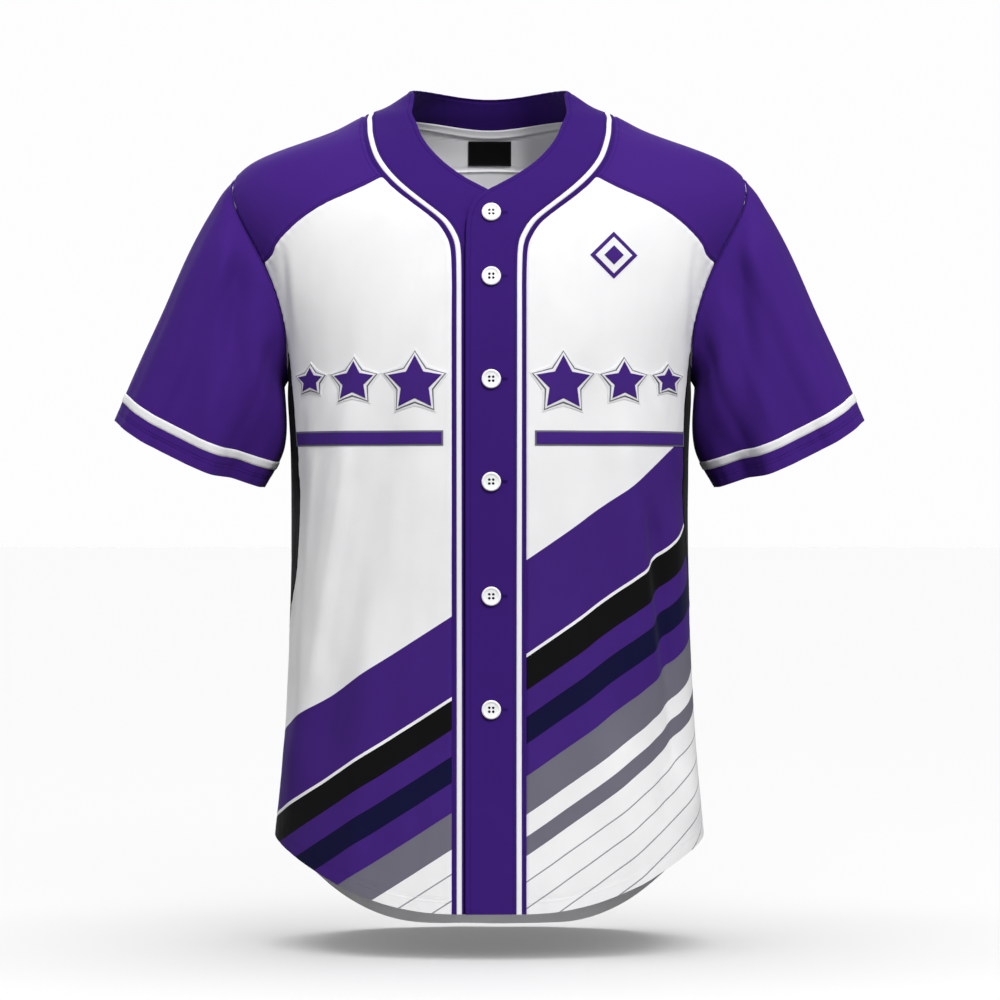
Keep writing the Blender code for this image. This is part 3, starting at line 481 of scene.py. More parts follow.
# Cloth as it is shown: wall, hems, seams and stitched lines, in mm
SHELL = 1.0
HEM_EXTRA = 0.8
HEM_DEPTH = 13.5
CUFF_DEPTH = 12.0
SEAM_DIP = 0.9
BAND_STITCH = 4.6
BAND_EDGE_RISE = 1.4
PLACKET_GROOVE = 2.2
CENTRE_STITCHES = (-5.5, 6.5)
SEAM_ALLOWANCE = 1.8
SEAM_TUCK = 1.3
SEAM_DIP_WIDTH = 1.15

FINE_FOLDS = table_of(BodyFold, [
    (-133, -335, -163, -520, 5.5, 1.8), (-124, -350, -150, -500, 6.5, -1.5),
    (-163, -335, -180, -510, 5.0, 1.6), (-174, -300, -184, -470, 4.5, -1.4),
    (-150, -270, -176, -330, 6.0, 1.2), (-70, -520, -92, -640, 9.0, 0.8),
    (-100, -560, -122, -680, 7.0, 1.0), (141, -385, 151, -500, 5.5, 2.0),
    (155, -395, 166, -520, 4.5, -2.0), (165, -470, 178, -590, 5.0, 1.7),
    (148, -540, 164, -640, 6.5, -1.4), (128, -430, 140, -560, 7.0, 1.1),
    (84, -500, 98, -640, 9.0, 0.8), (150, -265, 178, -330, 6.0, 1.2),
    (-192, -140, -187, -214, 4.0, -1.3), (-183, -150, -180, -230, 5.0, 1.0),
    (192, -140, 188, -214, 4.0, -1.3), (184, -150, 181, -230, 5.0, 1.0),
    (-60, -180, -110, -250, 16.0, 0.7), (70, -190, 118, -262, 16.0, 0.7),
    (48, -620, 60, -735, 8.0, 0.7), (-52, -640, -60, -738, 8.0, 0.7),
])
FINE_BACK_FOLDS = table_of(BodyFold, [
    (120, -150, 70, -330, 9.0, 1.3), (-116, -150, -76, -320, 9.0, 1.2),
    (166, -262, 140, -420, 6.0, 1.6), (-168, -258, -144, -430, 6.0, 1.5),
    (150, -330, 124, -560, 6.5, -1.5), (-152, -320, -128, -540, 6.5, -1.4),
    (56, -430, 66, -700, 7.0, 1.4), (24, -480, 22, -745, 6.5, -1.2),
    (-12, -450, -10, -750, 7.0, 1.2), (-60, -470, -52, -720, 7.0, -1.3),
    (-110, -480, -98, -700, 7.5, 1.3), (112, -520, 104, -700, 7.5, -1.2),
    (8, -70, 4, -200, 14.0, 0.6),
])
FINE_SLEEVE_FOLDS = table_of(SleeveFold, [
    (52, 0.04, 112, 1.03, 10.0, 3.0), (74, 0.04, 134, 1.03, 14.0, -6.5),
    (64, 0.12, 60, 0.9, 5.5, 1.5), (74, 0.2, 70, 0.95, 4.5, -1.2),
    (98, 0.1, 94, 0.85, 5.0, 1.4), (124, 0.12, 118, 0.9, 5.0, -1.3),
    (36, 0.3, 38, 1.02, 8.0, 0.9), (20, 0.02, 24, 0.45, 8.0, -0.7),
    (316, 0.2, 320, 1.02, 8.0, 0.9), (286, 0.12, 290, 0.9, 5.5, 1.4),
    (256, 0.15, 254, 0.95, 5.5, -1.3), (160, 0.1, 158, 0.9, 6.0, 1.2),
    (204, 0.1, 206, 0.9, 6.0, -1.2),
])


def unevenness(a, b, size, seed):
    """Small soft unevenness of a surface, about -1 to 1, longer along b than along a."""
    dice = np.random.default_rng(seed)
    total = np.zeros_like(a)
    for _ in range(14):
        turn = dice.normal(0, 0.5)
        wave = size * dice.uniform(0.6, 1.8)
        phase = dice.uniform(0, 2 * np.pi)
        total += np.sin((a * np.cos(turn) + b * 0.45 * np.sin(turn)) * 2 * np.pi / wave + phase)
    return total / 5


def cloth(angle, height):
    """The body form with its finer folds."""
    angle = np.atleast_1d(np.asarray(angle, float))
    height = np.broadcast_to(np.asarray(height, float), angle.shape)
    points = body(angle, height)
    turn = np.radians(angle)
    in_front = np.cos(turn) > 0
    round_side = smooth(np.abs(np.cos(turn)), 0, 0.15)
    x = points[:, 0]
    push = ridge_lines(x, height, FINE_FOLDS) * in_front
    push += ridge_lines(x, height, FINE_BACK_FOLDS) * ~in_front
    push *= round_side
    around = turn * 190
    push += 0.28 * unevenness(around, height, 42, 3) * smooth(height, -60, -200)
    push += 0.10 * unevenness(around, height, 16, 5)
    return points + body_normals(angle, height) * push[:, None]


def fine_steps(count, per, ends="both", close=(0.04, 0.09, 0.15, 0.24, 0.36)):
    """Steps from 0 to count, `per` of them to one step of the solids and closer at the ends."""
    steps = set(np.round(np.arange(0, count + 0.5 / per, 1 / per), 5))
    for c in close:
        if ends in ("both", "start"):
            steps.add(c)
        if ends in ("both", "end"):
            steps.add(count - c)
    return np.array(sorted(s for s in steps if 0 <= s <= count))


def panel_rows(count):
    """Fine steps up a panel, with more of them across its hem."""
    return np.array(sorted({*fine_steps(count, 6), 0.16, 0.3, 0.42, 0.55}))


KNOTS = band_knots()
BODY_ROWS = ROWS_BELOW_ARM + ROWS_AT_ARM_FRONT


def knots_at(rows):
    return np.interp(rows, np.arange(len(KNOTS)), KNOTS)


def side_edge_at(which, rows):
    """A side panel's front or back edge at steps up from the hem to the armhole."""
    arm = armhole([SIDE_ARM_FRONT if which == 0 else SIDE_ARM_BACK])[0]
    low = float(side_panel_at(-HEM_SIDE)[0][which])
    bottom = float(hem_height(low))
    heights = bottom + (arm[1] - bottom) * np.asarray(rows) / ROWS_BELOW_ARM
    angles = side_panel_at(-heights)[:, which]
    last = side_panel_at(-arm[1])[0][which]
    return np.stack([angles + (arm[0] - last) * smooth(heights, arm[1] - 60, arm[1]), heights], 1)


def patch(bottom, top, left, right, u, v):
    """A grid of places between four edges that were taken at shares u and v."""
    u = u[None, :, None]
    v = v[:, None, None]
    ruled = (1 - v) * bottom[None] + v * top[None] + (1 - u) * left[:, None] + u * right[:, None]
    corners = (1 - u) * (1 - v) * bottom[0] + u * (1 - v) * bottom[-1]
    return ruled - corners - (1 - u) * v * top[0] - u * v * top[-1]


def hem_line(start, end, share):
    angles = start + (end - start) * share
    return np.stack([angles, hem_height(angles)], axis=1)


def runs(points, axis):
    """Length along a grid from its first row or column, in mm."""
    steps = np.linalg.norm(np.diff(points, axis=axis), axis=2)
    total = np.cumsum(steps, axis=axis)
    return np.concatenate([np.zeros_like(total[:1] if axis == 0 else total[:, :1]), total], axis)


def edge_distances(points):
    """Distance in mm of each grid point from the bottom, top, left and right edges."""
    up, across = runs(points, 0), runs(points, 1)
    return {"b": up, "t": up[-1:] - up, "l": across, "r": across[:, -1:] - across}


def seam_profile(away):
    """Cloth pulled down at a seam, with the fullness of the layers beside it."""
    return -SEAM_DIP * np.exp(-((away / SEAM_DIP_WIDTH) ** 2)) + 0.18 * np.exp(
        -(((away - 4.0) / 1.8) ** 2)
    )


def stitched_profile(away, line, depth=0.22):
    return -depth * np.exp(-(((away - line) / 0.9) ** 2))


def puckers(away, along, seed):
    """Little ripples square to a seam that fade away from it."""
    dice = np.random.default_rng(seed)
    wave = np.zeros_like(along)
    for _ in range(5):
        wave += np.sin(along * 2 * np.pi / dice.uniform(7, 17) + dice.uniform(0, 6.3))
    return 0.075 * wave * np.exp(-((away / 9.0) ** 2))


def grid_faces(rows, columns, closed):
    idx = np.arange(rows * columns).reshape(rows, columns)
    nxt = np.roll(idx, -1, axis=1) if closed else idx[:, 1:]
    cur = idx if closed else idx[:, :-1]
    quads = np.stack([cur[:-1], nxt[:-1], nxt[1:], cur[1:]], axis=-1).reshape(-1, 4)
    n = rows * columns
    rims = [np.stack([cur[0], cur[0] + n, nxt[0] + n, nxt[0]], -1)]
    rims.append(np.stack([nxt[-1], nxt[-1] + n, cur[-1] + n, cur[-1]], -1))
    if not closed:
        a, b = idx[:-1, 0], idx[1:, 0]
        rims.append(np.stack([b, b + n, a + n, a], -1))
        a, b = idx[:-1, -1], idx[1:, -1]
        rims.append(np.stack([a, a + n, b + n, b], -1))
    return quads, quads[:, ::-1] + n, np.concatenate(rims)


def build_mesh(name, vertices, faces, materials, kinds=None, uv=None, values=None):
    """A mesh from arrays: vertices in mm, faces of one size, a material index per face."""
    mesh = bpy.data.meshes.new(name)
    corners = faces.shape[1]
    mesh.vertices.add(len(vertices))
    mesh.vertices.foreach_set("co", (np.asarray(vertices, np.float32) * MM).ravel())
    mesh.loops.add(faces.size)
    mesh.loops.foreach_set("vertex_index", faces.ravel().astype(np.int32))
    mesh.polygons.add(len(faces))
    mesh.polygons.foreach_set("loop_start", np.arange(0, faces.size, corners, dtype=np.int32))
    mesh.polygons.foreach_set("loop_total", np.full(len(faces), corners, np.int32))
    for material in materials:
        mesh.materials.append(material)
    if kinds is not None:
        mesh.polygons.foreach_set("material_index", kinds.astype(np.int32))
    if uv is not None:
        layer = mesh.uv_layers.new(name="cloth")
        layer.data.foreach_set("uv", uv[faces.ravel()].astype(np.float32).ravel())
    if values is not None:
        for key, data in values.items():
            attribute = mesh.attributes.new(key, "FLOAT", "POINT")
            attribute.data.foreach_set("value", data.astype(np.float32).ravel())
    mesh.update(calc_edges=True)
    mesh.validate()
    mesh.shade_smooth()
    mesh.set_sharp_from_angle(angle=math.radians(50))
    obj = bpy.data.objects.new(name, mesh)
    bpy.context.scene.collection.objects.link(obj)
    return obj


def shell(name, points, normals, outside, inside, thickness=SHELL, closed=False, values=None):
    """A thin closed wall inwards from a fine grid of outside points."""
    rows, columns, _ = points.shape
    thick = np.broadcast_to(np.asarray(thickness, float), (rows, columns)).reshape(-1, 1)
    outer = points.reshape(-1, 3)
    inner = outer - normals.reshape(-1, 3) * thick
    out, back, rims = grid_faces(rows, columns, closed)
    a, b, c = outer[out[:, 0]], outer[out[:, 1]], outer[out[:, 2]]
    facing = (np.cross(b - a, c - a) * normals.reshape(-1, 3)[out[:, 0]]).sum()
    faces = np.concatenate([out, back, rims])
    if facing < 0:
        faces = faces[:, ::-1]
    kinds = np.concatenate([np.zeros(len(out)), np.ones(len(back)), np.zeros(len(rims))])
    wrapped = np.concatenate([points, points[:, :1]], axis=1) if closed else points
    u, v = runs(wrapped, 1)[:, :columns], runs(points, 0)
    v = np.broadcast_to(v.mean(axis=1, keepdims=True), v.shape)
    uv = np.stack([u, v], -1).reshape(-1, 2) / 10
    both = None
    if values:
        both = {k: np.concatenate([d.ravel(), d.ravel()]) for k, d in values.items()}
    vertices, uv = np.concatenate([outer, inner]), np.concatenate([uv, uv])
    return build_mesh(name, vertices, faces, [outside, inside], kinds, uv, both)


def placed(obj, slot, *nodes):
    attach(obj, "root")
    if nodes:
        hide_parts(*nodes)
    return obj


def linear(*rgb):
    return tuple(
        (c / 255 / 12.92) if c / 255 <= 0.04045 else ((c / 255 + 0.055) / 1.055) ** 2.4
        for c in rgb
    ) + (1.0,)


PURPLE = linear(62, 31, 117)
# The front band is the same purple cloth as the yoke and sleeves, painted darker as shade
PURPLE_BAND_PAINTED_SHADE = linear(54, 26, 107)
PURPLE_PRINT = linear(60, 30, 113)
PURPLE_INSIDE = linear(48, 21, 103)
NAVY = linear(12, 12, 50)
BLACK = linear(11, 11, 11)
GREY = linear(103, 102, 114)
WHITE = linear(228, 228, 229)
# The inside is the same white cloth as the outside, painted lighter as painted light inside the
# garment
WHITE_INSIDE_PAINTED_LIGHT = linear(236, 236, 238)
LINE = linear(140, 140, 146)


def node(tree, kind, inputs, **settings):
    """A new shader node, with its settings, then its inputs as values or as links."""
    made = tree.nodes.new("ShaderNode" + kind)
    for key, value in settings.items():
        setattr(made, key, value)
    feed(tree, made, inputs)
    return made


def feed(tree, made, inputs):
    for key, value in inputs.items():
        if isinstance(value, bpy.types.NodeSocket):
            tree.links.new(value, made.inputs[key])
        else:
            made.inputs[key].default_value = value


def new_material(name):
    """A material with its tree, its shader and its node of coordinates."""
    material = bpy.data.materials.new(name)
    material.use_nodes = True
    tree = material.node_tree
    return material, tree, tree.nodes["Principled BSDF"], node(tree, "TexCoord", {})


def printed_bands(tree, bands):
    """Colours with exact edges, by the print height that each point of the cloth carries."""
    value = node(tree, "Attribute", {}, attribute_name="print").outputs["Fac"]
    colour = bands[0][1]
    for edge, below in bands[1:]:
        under = node(tree, "Math", {0: value, 1: edge}, operation="LESS_THAN")
        inputs = {"Factor": under.outputs[0], "A": colour, "B": below}
        colour = node(tree, "Mix", inputs, data_type="RGBA").outputs["Result"]
    return colour


def cloth_material(name, colour, roughness=0.8, sheen=0.05, bands=None, grain=1.0, gloss=0.08):
    """Knitted cloth: a plain colour or printed bands, a fine knit relief and a soft sheen."""
    material, tree, shader, where = new_material(name)
    cloudy = node(tree, "TexNoise", {"Scale": 26, "Detail": 3, "Vector": where.outputs["Object"]})
    tone = node(
        tree, "MapRange", {"To Min": 0.95, "To Max": 1.05, "Value": cloudy.outputs["Fac"]}
    )
    base = printed_bands(tree, bands) if bands else colour
    inputs = {"Factor": 1, "B": tone.outputs["Result"], "A": base}
    tint = node(tree, "Mix", inputs, data_type="RGBA", blend_type="MULTIPLY")
    flat = {"Vector": where.outputs["UV"]}
    across, along = (
        node(tree, "TexWave", {"Scale": scale, "Distortion": 0.6, **flat}, bands_direction=way)
        for way, scale in (("X", 3.3), ("Y", 4.4))
    )
    fuzz = node(tree, "TexNoise", {"Scale": 22, "Detail": 4, **flat})
    waves = {0: across.outputs["Fac"], 1: along.outputs["Fac"]}
    knit = node(tree, "Math", waves, operation="MULTIPLY")
    relief = node(tree, "Math", {0: knit.outputs[0], 1: fuzz.outputs["Fac"]}, operation="ADD")
    bump = node(
        tree, "Bump", {"Strength": 0.5 * grain, "Distance": 0.00012, "Height": relief.outputs[0]}
    )
    feed(tree, shader, {
        "Roughness": roughness, "Sheen Weight": sheen, "Sheen Roughness": 0.45,
        "Specular IOR Level": gloss, "Base Color": tint.outputs["Result"],
        "Normal": bump.outputs["Normal"],
    })
    return material


# Printed bands: the slopes of their edges, and the height of each band's top at the placket
PRINT_RISE_LEFT = 0.675
PRINT_FALL_RIGHT = 0.645
PRINT_LEFT = [
    (0, WHITE), (-418.0, PURPLE_PRINT), (-504.0, WHITE), (-507.3, BLACK), (-537.6, PURPLE_PRINT),
    (-561.9, NAVY), (-586.6, PURPLE_PRINT), (-616.1, GREY), (-651.1, WHITE), (-671.3, GREY),
    (-688.8, WHITE),
]
PRINT_RIGHT = [
    (0, WHITE), (-469.6, PURPLE_PRINT), (-543.5, WHITE), (-546.7, BLACK), (-573.6, PURPLE_PRINT),
    (-597.9, NAVY), (-622.0, PURPLE_PRINT), (-649.6, GREY), (-682.8, WHITE),
]
PRINT_BACK = [(t + 51 if t else 0, c) for t, c in PRINT_LEFT]

# Thin grey lines below the bands, from the highest down
LINE_WIDTH = 1.5
LINE_SPACING = 24.2
THIN_LINES = ((PRINT_LEFT, -712.4, 11), (PRINT_RIGHT, -705.4, 4), (PRINT_BACK, -661.4, 18))
for bands, highest, count in THIN_LINES:
    for number in range(count):
        top = highest - number * LINE_SPACING + LINE_WIDTH / 2
        bands += [(top, LINE), (top - LINE_WIDTH, WHITE)]

# The inside white carries painted light: it is lighter than the outside white
white_inside_painted_light = cloth_material("white_cloth_inside_painted_light", WHITE_INSIDE_PAINTED_LIGHT, 0.85, 0.02)
purple = cloth_material("purple_cloth_knit", PURPLE, 0.85, 0.02, gloss=0.05)
purple_inside = cloth_material("purple_cloth_inside", PURPLE_INSIDE, 0.8, 0.03)
# The front band's purple: the yoke's cloth painted darker, painted shade
band_purple_painted_shade = cloth_material("purple_band_knit_painted_shade", PURPLE_BAND_PAINTED_SHADE, 0.85, 0.02, gloss=0.05)
black = cloth_material("black_cloth_knit", BLACK, 0.75, 0.04)
print_left = cloth_material("print_front_left", None, 0.75, 0.03, PRINT_LEFT)
print_right = cloth_material("print_front_right", None, 0.75, 0.03, PRINT_RIGHT)
print_back = cloth_material("print_back", None, 0.75, 0.03, PRINT_BACK)
white_braid = cloth_material("white_braid", WHITE, 0.7, 0.03, grain=1.5)
# The neck tape takes the same lighter inside white, painted light
white_tape = cloth_material("white_tape", WHITE_INSIDE_PAINTED_LIGHT, 0.7, 0.03, grain=1.5)
purple_thread = cloth_material("purple_thread", linear(38, 16, 84), 0.8, 0.0, gloss=0.02)
white_thread = cloth_material("white_thread", linear(215, 215, 218), 0.7, 0.02)
black_thread = cloth_material("black_thread", linear(34, 34, 36), 0.55, 0.2)
grey_twill = cloth_material("grey_twill", GREY, 0.7, 0.03, grain=1.5)
purple_twill = cloth_material("purple_twill", PURPLE, 0.65, 0.05, grain=1.5)
white_twill = cloth_material("white_twill", WHITE, 0.7, 0.03, grain=1.5)


def plastic_material(name):
    material, tree, shader, where = new_material(name)
    cloudy = node(tree, "TexNoise", {"Scale": 160, "Vector": where.outputs["Object"]})
    pearl = node(tree, "ValToRGB", {"Fac": cloudy.outputs["Fac"]})
    pearl.color_ramp.elements[0].color = linear(226, 227, 224)
    pearl.color_ramp.elements[1].color = linear(246, 247, 248)
    feed(tree, shader, {
        "Roughness": 0.28, "Specular IOR Level": 0.5, "Base Color": pearl.outputs["Color"],
    })
    return material


plastic = plastic_material("button_pearl")

def along_line(points, normals, distance, edge):
    """A line of points and normals on a grid, a distance in from one of its edges."""
    away = edge_distances(points)[edge]
    if edge in "bt":
        points, normals, away = points.swapaxes(0, 1), normals.swapaxes(0, 1), away.T
    line, ways = [], []
    for i in range(len(points)):
        order = np.argsort(away[i])
        d = away[i][order]
        line.append([np.interp(distance, d, points[i][order, k]) for k in range(3)])
        ways.append([np.interp(distance, d, normals[i][order, k]) for k in range(3)])
    return np.array(line), np.array(ways)


# A stitch of unit size: two pointed ends and two sections between them
STITCH = np.array([
    (-0.5, 0, 0), (-0.25, -0.5, 0.15), (-0.25, 0, 1), (-0.25, 0.5, 0.15),
    (0.25, -0.5, 0.15), (0.25, 0, 1), (0.25, 0.5, 0.15), (0.5, 0, 0),
])
STITCH_FACES = np.array([
    (0, 2, 1), (0, 3, 2), (1, 2, 5), (1, 5, 4), (2, 3, 6), (2, 6, 5),
    (4, 5, 7), (5, 6, 7), (0, 1, 3), (1, 4, 6), (1, 6, 3), (4, 7, 6),
])


def at_spots(spots, run, line):
    return np.stack([np.interp(spots, run, line[:, k]) for k in range(3)], 1)


def stitches(name, material, slot, lines, pitch=2.6, size=(2.0, 0.5, 0.26), print_at=None):
    """Rows of sewn stitches along lines of points and normals, as one mesh."""
    vertices, faces, printed = [], [], []
    shape = STITCH * size
    for number, (line, ways) in enumerate(lines):
        run = run_along(line)
        spots = np.arange(pitch, run[-1] - pitch, pitch)
        if len(spots) == 0:
            continue
        middle = at_spots(spots, run, line)
        ahead = at_spots(spots + 0.8, run, line) - middle
        ahead /= np.linalg.norm(ahead, axis=1)[:, None]
        up = at_spots(spots, run, ways)
        up -= (up * ahead).sum(1)[:, None] * ahead
        up /= np.linalg.norm(up, axis=1)[:, None]
        across = np.cross(up, ahead)
        base = middle + up * 0.03
        spread = (
            base[:, None]
            + ahead[:, None] * shape[None, :, :1]
            + across[:, None] * shape[None, :, 1:2]
            + up[:, None] * shape[None, :, 2:]
        )
        start = sum(len(v) for v in vertices)
        vertices.append(spread.reshape(-1, 3))
        if print_at:
            printed.append(np.repeat(np.interp(spots, run, print_at[number]), len(shape)))
        offsets = start + np.arange(len(spots)) * len(shape)
        faces.append((STITCH_FACES[None] + offsets[:, None, None]).reshape(-1, 3))
    vertices, faces = np.concatenate(vertices), np.concatenate(faces)
    uv = np.stack([vertices[:, 0], vertices[:, 2]], 1) / 10
    values = {"print": np.concatenate(printed)} if print_at else None
    return placed(build_mesh(name, vertices, faces, [material], uv=uv, values=values), slot)


def hem_thickness(away, depth):
    return SHELL + HEM_EXTRA * smooth(away, depth + 0.8, depth - 0.8)


def finished(points, normals, seams, hem=None):
    """Moves a panel's points for its seams, puckers and stitched lines."""
    away = edge_distances(points)
    push = np.zeros(points.shape[:2])
    for number, edge in enumerate(seams):
        along_edge = away["b"] if edge in "lr" else away["l"]
        push += seam_profile(away[edge]) + puckers(away[edge], along_edge, 20 + number)
    if hem:
        edge, depth = hem
        along_edge = away["b"] if edge in "lr" else away["l"]
        push += stitched_profile(away[edge], depth) + stitched_profile(away[edge], depth - 3)
        push += puckers(np.abs(away[edge] - depth + 1.5), along_edge, 31) * 1.4
    return points + normals * push[..., None]


RUN_HEIGHTS = np.arange(-840.0, 61.0, 20)
RUN_ANGLES = np.arange(0.0, 181.0)
RUN_TABLE = np.array([
    run_along(plain_body(RUN_ANGLES, np.full(len(RUN_ANGLES), z))) for z in RUN_HEIGHTS
])


def way_round(places):
    """How far places lie from the centre front, measured round the body."""
    angle = np.minimum(places[..., 0] % 360, -places[..., 0] % 360)
    step = RUN_HEIGHTS[1] - RUN_HEIGHTS[0]
    row = np.clip((places[..., 1] - RUN_HEIGHTS[0]) / step, 0, len(RUN_HEIGHTS) - 1.001)
    column = np.clip(angle, 0, 179.999)
    low, before = row.astype(int), column.astype(int)
    up, on = row - low, column - before
    at_low = RUN_TABLE[low, before] * (1 - on) + RUN_TABLE[low, before + 1] * on
    at_high = RUN_TABLE[low + 1, before] * (1 - on) + RUN_TABLE[low + 1, before + 1] * on
    return at_low * (1 - up) + at_high * up


def band_heights(places, side):
    """The height at the placket of the printed line that runs through each front place."""
    cloth_run = way_round(places) - PLACKET_SEWN_X
    height = places[..., 1]
    if side > 0:
        return height - PRINT_RISE_LEFT * cloth_run
    flat = plain_body(places[..., 0].ravel(), height.ravel())[:, 0].reshape(height.shape)
    return height + PRINT_FALL_RIGHT * (0.75 * (flat - PLACKET_SEWN_X) + 0.25 * cloth_run)


def hem_lines(points, normals, band):
    """The two stitched lines of the hem, and the printed height along each."""
    carried = np.repeat(band[..., None], 3, axis=2)
    lines, printed = [], []
    for distance in (HEM_DEPTH, HEM_DEPTH - 3):
        lines.append(along_line(points, normals, distance, "b"))
        away = edge_distances(points)["b"]
        at = [np.interp(distance, away[:, i], carried[:, i, 0]) for i in range(away.shape[1])]
        printed.append(np.array(at))
    return lines, printed


def arm_angles(rows, start, end, steps):
    """Angles round the armhole for rows above the underarm."""
    return start + (end - start) * (rows - ROWS_BELOW_ARM) / steps


def make_front(side, word, material):
    rows = panel_rows(BODY_ROWS)
    columns = fine_steps(FRONT_COLUMNS, 6)
    left = band_edge_places(knots_at(rows), sewn_edge_at, PLACKET_SEWN_X)
    below = rows <= ROWS_BELOW_ARM
    arm = arm_angles(rows[~below], SIDE_ARM_FRONT, YOKE_ARM_FRONT, ROWS_AT_ARM_FRONT)
    right = np.concatenate([side_edge_at(0, rows[below]), armhole(arm)])
    u = columns / FRONT_COLUMNS
    bottom = hem_line(left[0][0], right[0][0], u)
    top = yoke_front_curve()(u)
    grid = patch(bottom, top, left, right, u, rows / BODY_ROWS)
    points, normals = on_form(cloth, sided(grid, side))
    band = band_heights(grid, side)
    points = finished(points, normals, "tlr", ("b", HEM_DEPTH))
    away = edge_distances(points)["b"]
    name = f"front_{word}_cloth"
    obj = shell(
        name, points, normals, material, white_inside_painted_light, hem_thickness(away, HEM_DEPTH),
        values={"print": band},
    )
    placed(obj, "white_cloth", f"front_{word}")
    lines, printed = hem_lines(points, normals, band)
    sewn = stitches(f"hem_stitches_{word}", material, "white_cloth", lines, print_at=printed)
    return obj, points, [sewn]


def yoke_front_curve():
    corner = tuple(sewn_edge_at(YOKE_KNOT)[0])
    end = tuple(armhole([YOKE_ARM_FRONT])[0])
    middle = [(float(front_angle(x, z)[0]), z) for x, z in YOKE_FRONT_EDGE]
    return curve_through([corner, *middle, end])


def yoke_back_curve():
    start = tuple(armhole([YOKE_ARM_BACK])[0])
    middle = [(float(back_angle(x, z)[0]), z) for x, z in YOKE_BACK_EDGE]
    return curve_through([start, *middle])


def make_back():
    total = ROWS_BELOW_ARM + ROWS_AT_ARM_BACK
    rows = panel_rows(total)
    below = rows <= ROWS_BELOW_ARM
    arm = arm_angles(rows[~below], SIDE_ARM_BACK, YOKE_ARM_BACK, ROWS_AT_ARM_BACK)
    left = np.concatenate([side_edge_at(1, rows[below]), armhole(arm)])
    right = np.stack([360 - left[:, 0], left[:, 1]], axis=1)
    columns = fine_steps(2 * STEPS_NECK_BACK, 6)
    u = columns / (2 * STEPS_NECK_BACK)
    half = yoke_back_curve()(1 - np.abs(1 - 2 * u))
    mirrored = np.stack([360 - half[:, 0], half[:, 1]], axis=1)
    top = np.where((u > 0.5)[:, None], mirrored, half)
    bottom = hem_line(left[0][0], right[0][0], u)
    grid = patch(bottom, top, left, right, u, rows / total)
    points, normals = on_form(cloth, grid)
    half_round = way_round(grid * (0, 1) + (180, 0))
    around = (half_round - way_round(grid)) * np.sign(180 - grid[..., 0])
    band = grid[..., 1] - PRINT_RISE_LEFT * around
    points = finished(points, normals, "tlr", ("b", HEM_DEPTH))
    away = edge_distances(points)["b"]
    obj = shell(
        "back_cloth", points, normals, print_back, white_inside_painted_light,
        hem_thickness(away, HEM_DEPTH), values={"print": band},
    )
    placed(obj, "white_cloth", "back")
    lines, printed = hem_lines(points, normals, band)
    sewn = stitches("hem_stitches_back", print_back, "white_cloth", lines, print_at=printed)
    lines = []
    for x in CENTRE_STITCHES:
        z = np.linspace(-52, -200, 75)
        places = back_angle(np.full(len(z), x), z)
        out = body_normals(places, z)
        lines.append((cloth(places, z) - out * (SHELL + 0.02), -out))
    middle = stitches(
        "centre_back_stitches", white_thread, "white_cloth", lines, 3.0, (2.8, 0.8, 0.5)
    )
    return obj, points, [sewn, middle]


def make_side(side, word):
    rows = panel_rows(ROWS_BELOW_ARM)
    columns = fine_steps(SIDE_COLUMNS, 6)
    u = columns / SIDE_COLUMNS
    left, right = side_edge_at(0, rows), side_edge_at(1, rows)
    top = armhole(SIDE_ARM_FRONT + (SIDE_ARM_BACK - SIDE_ARM_FRONT) * u)
    bottom = hem_line(left[0][0], right[0][0], u)
    grid = patch(bottom, top, left, right, u, rows / ROWS_BELOW_ARM)
    points, normals = on_form(cloth, sided(grid, side))
    points = finished(points, normals, "tlr", ("b", HEM_DEPTH))
    away = edge_distances(points)["b"]
    obj = shell(
        f"side_panel_{word}_cloth", points, normals, black, white_inside_painted_light,
        hem_thickness(away, HEM_DEPTH),
    )
    placed(obj, "black_cloth", f"side_panel_{word}")
    lines = [along_line(points, normals, d, "b") for d in (HEM_DEPTH, HEM_DEPTH - 3)]
    sewn = stitches(f"hem_stitches_side_{word}", black_thread, "black_cloth", lines)
    return obj, points, [sewn]


def make_yoke():
    rows_in_all = STEPS_NECK_FRONT + STEPS_NECK_SIDE + STEPS_NECK_BACK
    rows = fine_steps(rows_in_all, 6, "start")
    columns = fine_steps(FRONT_COLUMNS, 6)
    share = (columns / FRONT_COLUMNS)[None, :, None]
    inner = sewn_edge_at(knots_at(BODY_ROWS + rows))
    to_side = STEPS_NECK_FRONT + STEPS_NECK_SIDE
    over = np.interp(rows, [0, STEPS_NECK_FRONT, to_side], [YOKE_ARM_FRONT, 0, YOKE_ARM_BACK - 360])
    on_arm = rows <= to_side
    behind = yoke_back_curve()((rows[~on_arm] - to_side) / STEPS_NECK_BACK)
    outer = np.concatenate([armhole(over[on_arm]), behind])
    grid = inner[:, None] * (1 - share) + outer[:, None] * share
    fade = (1 - np.clip(rows / STEPS_NECK_FRONT, 0, 1) ** 0.5)[:, None, None]
    grid += (yoke_front_curve()(columns / FRONT_COLUMNS) - grid[0])[None] * fade
    halves = []
    for side in (1, -1):
        points, normals = on_form(cloth, sided(grid, side))
        halves.append((finished(points, normals, "blr"), normals))
    points, normals = joined(*halves)
    obj = shell("yoke_cloth", points, normals, purple, white_inside_painted_light)
    placed(obj, "purple_cloth", "yoke")
    lines = [along_line(points, normals, 3.4, e) for e in "lbt"]
    sewn = stitches("yoke_stitches", purple_thread, "purple_cloth", lines)
    return obj, points, [sewn]


